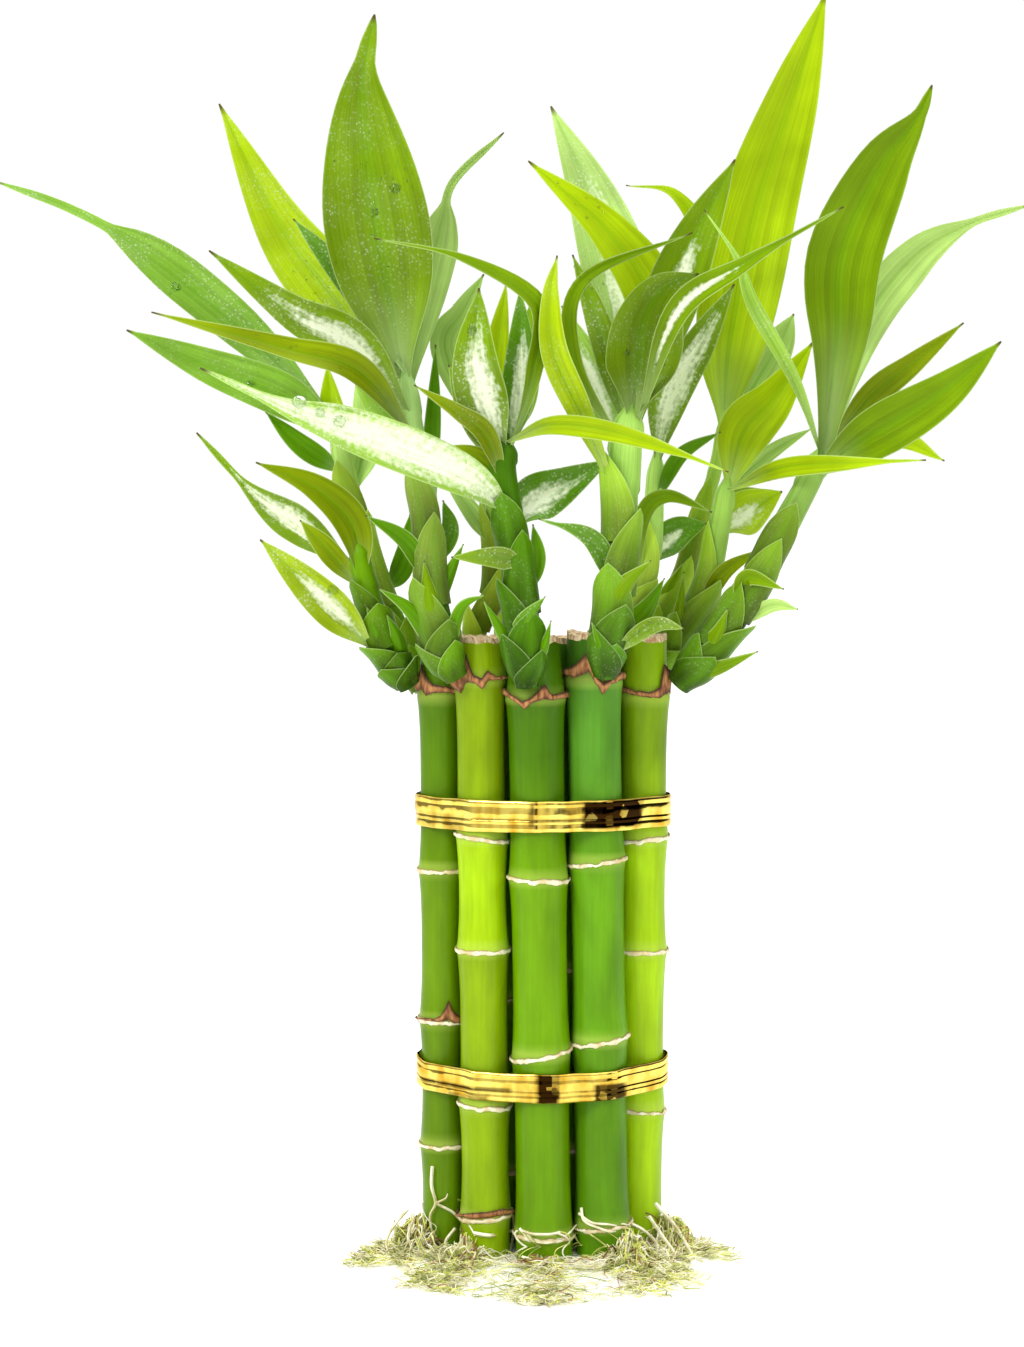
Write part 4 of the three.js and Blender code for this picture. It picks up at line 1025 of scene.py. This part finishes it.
# large drops as [across, up, radius], and patches of fine ones as [across, up, reach, count]
dropLook = {
    "large": [[-60.6, 211.8, 1.7], [-50.6, 207, 1.6], [-55.4, 209.2, 1.2], [-36.4, 264.5, 1.3],
              [-41.6, 258.8, 1.0], [-91.1, 240.3, 1.3], [-52.4, 165, 1.4], [-17.5, 229.5, 1.2],
              [-72.5, 216.4, 1.0], [21, 224, 0.9]],
    "fine": [[-41, 268, 11, 45], [-38, 248, 8, 26], [-64, 228, 15, 44], [-98, 244, 12, 24],
             [-15.5, 222, 6, 16], [-62, 213, 16, 30], [26, 226, 7, 20], [-54, 165, 7, 12],
             [6, 190, 6, 12], [28, 156, 5, 14], [-13, 173, 6, 12], [-56, 244, 6, 16],
             [12, 240, 8, 16], [10, 262, 8, 14], [54, 189, 6, 10]],
    "height": 0.42, "fineRadius": (0.16, 0.34), "largeSides": 14, "fineSides": 7,
}


def buildDrops():
    bm = bmesh.new()
    rng = random.Random(5)
    wanted = [(across, up, radius, dropLook["largeSides"]) for across, up, radius in dropLook["large"]]
    for across, up, reach, count in dropLook["fine"]:
        for index in range(count):
            turn, part = rng.uniform(0, 6.3), rng.random() ** 0.6
            wanted.append((across + reach * part * math.cos(turn), up + reach * part * math.sin(turn),
                           rng.uniform(*dropLook["fineRadius"]), dropLook["fineSides"]))
    eye = view["eye"] * mm
    for across, up, radius, sides in wanted:
        ray = (Vector((across, 0, up)) * mm - eye).normalized()
        hits = [hit for hit in (tree.ray_cast(eye, ray) for tree in shootTrees) if hit[0]]
        if not hits:
            continue
        spot, normal = min(hits, key=lambda hit: hit[3])[:2]
        if normal.dot(ray) > 0:
            normal = -normal
        turned = normal.to_track_quat("Z", "Y").to_matrix().to_4x4()
        size = Matrix.Diagonal((radius * mm, radius * mm * 0.92, radius * mm * dropLook["height"], 1))
        bmesh.ops.create_uvsphere(bm, u_segments=sides, v_segments=max(5, sides // 2), radius=1,
                                  matrix=Matrix.Translation(spot) @ turned @ size)
    piece = finishPiece("waterDropsOnLeaves", bm, [waterDrops])


# ---- roots: fine curly fibres in a matted mound under the canes

# counts of fibres of each kind, and the ellipse on the table that they keep to
rootLook = {"mound": 720, "front": 600, "climb": 10, "wide": 38, "middle": -11, "deep": 46.5,
            "points": 12, "rows": 17, "thin": 0.1, "thick": 0.25, "noise": 260.0,
            "moundLengths": (9, 20), "frontLengths": (10, 24), "moundLoops": 0.95, "frontLoops": 0.7,
            "frontReach": 38, "frontThin": 0.7, "climbCanes": (0, 0, 1, 2, 2, 3, 3, 4)}
moundLook = {"base": 0.7, "left": (210, 8), "right": (328, 7.5), "back": 3}


def makeRoot(name, colour, deep):
    material, tree, shader = startMaterial(name)
    tone = grainy(tree, objectPlace(tree), rootLook["noise"], 3.0)
    wire(tree, shader, {"Base Color": twoTone(tree, tone, 0.36, deep, 0.62, colour), "Roughness": 0.5})
    return material


# moist living root skin, cream where young, yellow-green where lit and brown where old
creamRoots = makeRoot("creamRootFibre", "#fffbe2", "#c9c088")
greenRoots = makeRoot("yellowGreenRootFibre", "#e6e878", "#7f8c38")
brownRoots = makeRoot("brownRootFibre", "#b08040", "#5c3a1a")


# how high the matted mound stands at a turn round the canes: it is heaped to the left and the right
def moundHeight(turn):
    (leftTurn, leftHeight), (rightTurn, rightHeight) = moundLook["left"], moundLook["right"]
    left = leftHeight * max(0, math.cos(turn - math.radians(leftTurn))) ** 4
    right = rightHeight * max(0, math.cos(turn - math.radians(rightTurn))) ** 4
    return moundLook["base"] + left + right + moundLook["back"] * max(0, math.sin(turn))


# a wandering fibre: its centre line bends in loops as it goes
def wanderPath(rng, start, heading, length, low, high, loops):
    points, turn, place = [], heading, Vector(start)
    bend = rng.uniform(-loops, loops)
    step = length / (rootLook["points"] - 1)
    for k in range(rootLook["points"]):
        part = k / (rootLook["points"] - 1)
        points.append(place.copy())
        turn += bend + rng.uniform(-0.5, 0.5)
        bend += rng.uniform(-0.25, 0.25)
        level = low + (high - low) * (1 - part) * (0.62 + 0.38 * math.sin(part * 13 + heading))
        ahead = place + Vector((math.cos(turn), math.sin(turn), 0)) * step
        off = (ahead.x / rootLook["wide"]) ** 2 + ((ahead.y - rootLook["middle"]) / rootLook["deep"]) ** 2
        if off > 1:
            turn = math.atan2(rootLook["middle"] - place.y, -place.x) + rng.uniform(-0.8, 0.8)
            ahead = place + Vector((math.cos(turn), math.sin(turn), 0)) * step
        place = ahead
        place.z = max(0.3, level + rng.uniform(-1, 1) * min(1, 0.3 + level / 5))
    return points


# a fibre of the mound starts at the canes' feet, one of the front lies before them, and one that
# climbs clings to a front cane
def rootPath(rng, kind):
    turn = rng.uniform(0, 2 * math.pi)
    if kind == "mound":
        while rng.random() > 0.25 + moundHeight(turn) / 9:
            turn = rng.uniform(0, 2 * math.pi)
        out = Vector((math.cos(turn), math.sin(turn), 0))
        high = moundHeight(turn)
        start = outlinePoint(2, turn, 0) + out * rng.uniform(0.3, 4)
        start.z = high * rng.uniform(0.2, 1)
        return wanderPath(rng, start, turn + rng.uniform(-1.7, 1.7), rng.uniform(*rootLook["moundLengths"]),
                          0.4, start.z, rootLook["moundLoops"])
    if kind == "front":
        turn = rng.uniform(math.pi * 1.04, math.pi * 1.96)
        out = Vector((math.cos(turn), math.sin(turn), 0))
        reach = rootLook["frontReach"] * rng.random() ** 1.1 * (0.15 + 0.85 * -out.y)
        start = outlinePoint(2, turn, 0) + out * (1 + reach)
        start.z = rng.uniform(0.4, 2.2)
        return wanderPath(rng, start, rng.uniform(0, 6.3), rng.uniform(*rootLook["frontLengths"]),
                          0.35, start.z, rootLook["frontLoops"])
    which = rng.choice(rootLook["climbCanes"])
    cane = canes[which]
    top = rng.uniform(5, 20 if which == 0 else 9)
    turn = rng.uniform(math.pi * 1.1, math.pi * 1.9)
    bend, points = rng.uniform(-0.9, 0.9), []
    for k in range(rootLook["points"]):
        part = k / (rootLook["points"] - 1)
        angle = turn + bend * part + 0.25 * math.sin(part * 8 + turn)
        level = top * (1 - part) + 0.4 + 0.5 * math.sin(part * 13)
        radius = caneRadius(cane, level, angle) + 0.25 + 0.5 * abs(math.sin(part * 7))
        spread = Vector((math.cos(angle), math.sin(angle), 0)) * (radius + 3 * part ** 3)
        points.append(caneCentre(cane, level) + spread)
    return points


# strands seen on the canes' feet: thickness, how far each stands forward, points [across, up]
strands = [
    (0.42, 0, [[-27.8, 18.9], [-28, 13.9], [-27, 9.4], [-28.4, 6.1], [-27.8, 1.1]]),
    (0.3, 0, [[-27, 9.4], [-24.5, 10.6], [-23.9, 11.9]]),
    (0.36, 0, [[-27, 9.4], [-22.8, 7.2], [-20.6, 5], [-18.9, 4.4], [-17, 1]]),
    (0.5, 0, [[-17.3, 1.7], [-12.8, 1.1], [-7.8, 2.2], [-4, 1.6], [-1, -1.6]]),
    (0.46, 0.4, [[-5.6, 2.8], [-2.8, 0], [1.6, -0.8], [6.1, 1.1], [8.8, 3.9]]),
    (0.4, 0.8, [[-5, 2.2], [-1.7, 1.4], [3.8, 1.7], [8.3, 4.4], [9.4, 7]]),
    (0.46, 0.3, [[10, 8.3], [10.7, 5], [13.8, 3.3], [18.3, 2.2], [22.7, 5.6]]),
    (0.36, 0.6, [[9.4, 6.7], [12.7, 4.4], [17.2, 3.9], [21, 3]]),
    (0.4, 1, [[-7.8, 8.3], [-7, 3.9], [-7.8, -1.7], [-8.6, -4]]),
    (0.36, 2, [[-5, -4.4], [-1.7, -5.4], [1.6, -5.2], [7.2, -4.4], [10, -6]]),
    (0.5, 1, [[28.8, 9.4], [31.6, 6.1], [34.4, 2.8], [38.3, -3.9], [41, -5.6]]),
    (0.42, 4, [[27.2, 6.1], [30.5, 1.1], [33.8, -3.9], [32.2, -7]]),
    (0.42, 3, [[22.2, 4.4], [26.1, 2.2], [29.4, -1.7], [27.2, -6.4]]),
    (0.36, 3, [[-34, 7.8], [-37.3, 3.9], [-39.5, -0.6], [-38.4, -5]]),
    (0.36, 4, [[-32.3, 6.1], [-34, 0.6], [-32.3, -4], [-33.4, -7]]),
    (0.4, 3, [[-22, 3], [-24.5, -1], [-21, -4], [-23, -7.4]]),
]


# how far forward the front canes reach, or the gap between them
def frontOf(across):
    reach, clear = -9.0, 0.6
    for cane in canes[:5]:
        gap = abs(across - cane["foot"][0])
        if gap < cane["radius"]:
            reach = min(reach, cane["foot"][1] - math.sqrt(cane["radius"] ** 2 - gap ** 2) - clear)
    return reach


def strandPath(forward, points):
    path = []
    for across, up in points:
        depth = frontOf(across) - forward
        # lower down a strand leaves the cane and lies on the table
        if up < 0:
            depth = min(depth, view["eye"].y * up / (up - view["eye"].z) - 2)
        place = seen([across, up, depth])
        place.z = max(0.5, place.z)
        path.append(place)
    return path


def addLine(data, path, radius, thinning):
    rows = rootLook["rows"]
    spline = data.splines.new("POLY")
    spline.points.add(rows)
    for k, point in enumerate(spline.points):
        point.co = (*(through(path, k / rows) * mm), 1)
        point.radius = radius * (1 - thinning * (k / rows) ** 2)


# fibres of one colour, drawn as bevelled curves and then turned to a mesh
def buildFibres(name, material, share, seed, extra=()):
    rng = random.Random(seed)
    data = bpy.data.curves.new(name + "Lines", "CURVE")
    data.dimensions = "3D"
    data.bevel_depth = mm
    data.bevel_resolution = 0
    data.use_fill_caps = True
    for kind in ("mound", "front", "climb"):
        part = share * (0.4 if share < 0.5 and kind == "front" else 1)
        for index in range(int(rootLook[kind] * part)):
            path = rootPath(rng, kind)
            radius = rng.uniform(rootLook["thin"], rootLook["thick"])
            radius *= rootLook["frontThin"] if kind == "front" else 1
            addLine(data, path, radius, 0.6)
    for thick, forward, points in extra:
        addLine(data, strandPath(forward, points), thick, 0.5)
    lines = bpy.data.objects.new(name + "Lines", data)
    bpy.context.scene.collection.objects.link(lines)
    bpy.context.view_layer.update()
    mesh = bpy.data.meshes.new_from_object(lines.evaluated_get(bpy.context.evaluated_depsgraph_get()))
    bpy.data.objects.remove(lines)
    bpy.data.curves.remove(data)
    bm = bmesh.new()
    bm.from_mesh(mesh)
    bpy.data.meshes.remove(mesh)
    piece = finishPiece(name, bm, [material])
    return piece


def buildRoots():
    main = buildFibres("rootMatCream", creamRoots, 1.0, 3, strands)
    buildFibres("rootMatGreen", greenRoots, 0.9, 4)
    buildFibres("rootMatBrown", brownRoots, 0.26, 5)
    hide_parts("root_mat")


buildDrops()
buildRoots()
print("drops and roots made")


# ---- white table and soft studio light

stageLook = {"floor": 6.0, "near": -0.62, "world": 1.02,
             "front": [(0.15, 0.5), (0.25, 0.8), (0.43, 0.6), (0.46, 0.05), (0.49, 0.05), (0.52, 1.1),
                       (0.7, 0.9), (0.73, 0.02)]}

# name, place, size and power of each lamp, all aimed at the middle of the bundle
lamps = [("softKey", (-0.75, -0.9, 0.95), (0.45, 0.45), 9.5), ("softFill", (0.9, -0.7, 0.5), (0.5, 0.6), 2.4),
         ("topLight", (0.1, 0.3, 1.3), (0.9, 0.9), 4)]
lampTarget = Vector((0, 0, 0.15))


def buildStage():
    bm = bmesh.new()
    bmesh.ops.create_grid(bm, x_segments=2, y_segments=2, size=stageLook["floor"])
    mesh = bpy.data.meshes.new("studioFloor")
    bm.to_mesh(mesh)
    bm.free()
    floor = bpy.data.objects.new("studioFloor", mesh)
    floor.location = (0, stageLook["floor"] + stageLook["near"], 0)
    bpy.context.scene.collection.objects.link(floor)
    # matt white studio paper
    material, tree, shader = startMaterial("studioPaper")
    grain = grainy(tree, objectPlace(tree), 900.0, 2.0)
    wire(tree, shader, {"Base Color": hexToLinear("#fbfbf9"), "Normal": bumped(tree, grain, 0.03, 0.0001),
                        "Roughness": 0.9})
    mesh.materials.append(material)


def addLight(name, place, size, power):
    data = bpy.data.lights.new(name, "AREA")
    data.shape = "RECTANGLE"
    data.size, data.size_y = size
    data.energy = power
    lamp = bpy.data.objects.new(name, data)
    lamp.location = place
    lamp.rotation_euler = (lampTarget - Vector(place)).to_track_quat("-Z", "Y").to_euler()
    bpy.context.scene.collection.objects.link(lamp)


# white behind the plant, dim in front of it with a dark strip to the right that the foil mirrors
def setWorld():
    world = bpy.data.worlds.new("studioWorld")
    bpy.context.scene.world = world
    world.use_nodes = True
    tree = world.node_tree
    spot = addNode(tree, "ShaderNodeTexCoord")
    x, y, z = addNode(tree, "ShaderNodeSeparateXYZ", {0: spot.outputs["Generated"]}).outputs
    front = addNode(tree, "ShaderNodeValToRGB", {"Fac": ranged(tree, x, -1.0, 1.0)})
    front.color_ramp.elements[0].position = 0.0
    front.color_ramp.elements[0].color = (0.3, 0.3, 0.3, 1)
    front.color_ramp.elements[1].position = 1.0
    front.color_ramp.elements[1].color = (0.02, 0.02, 0.02, 1)
    for position, level in stageLook["front"]:
        front.color_ramp.elements.new(position).color = (level, level, level, 1)
    around = mixed(tree, ranged(tree, y, 0.4, 0.8), front.outputs[0], (1, 1, 1, 1))
    above = ranged(tree, z, 0.35, 0.9, 0.0, 1.1)
    lit = addNode(tree, "ShaderNodeVectorMath", {0: around, 1: above}, operation="ADD").outputs[0]
    wire(tree, tree.nodes["Background"], {"Color": lit, "Strength": stageLook["world"]})


def setCamera():
    data = bpy.data.cameras.new("photoCamera")
    data.sensor_fit = "VERTICAL"
    data.sensor_height = view["sensor"]
    data.lens = view["lens"]
    camera = bpy.data.objects.new("photoCamera", data)
    camera.location = view["eye"] * mm
    camera.rotation_euler = (math.radians(90 - view["pitch"]), 0, 0)
    bpy.context.scene.collection.objects.link(camera)
    bpy.context.scene.camera = camera


buildStage()
setWorld()
for lamp in lamps:
    addLight(*lamp)
setCamera()
bpy.context.scene.view_settings.view_transform = "Standard"
bpy.context.scene.view_settings.look = "None"
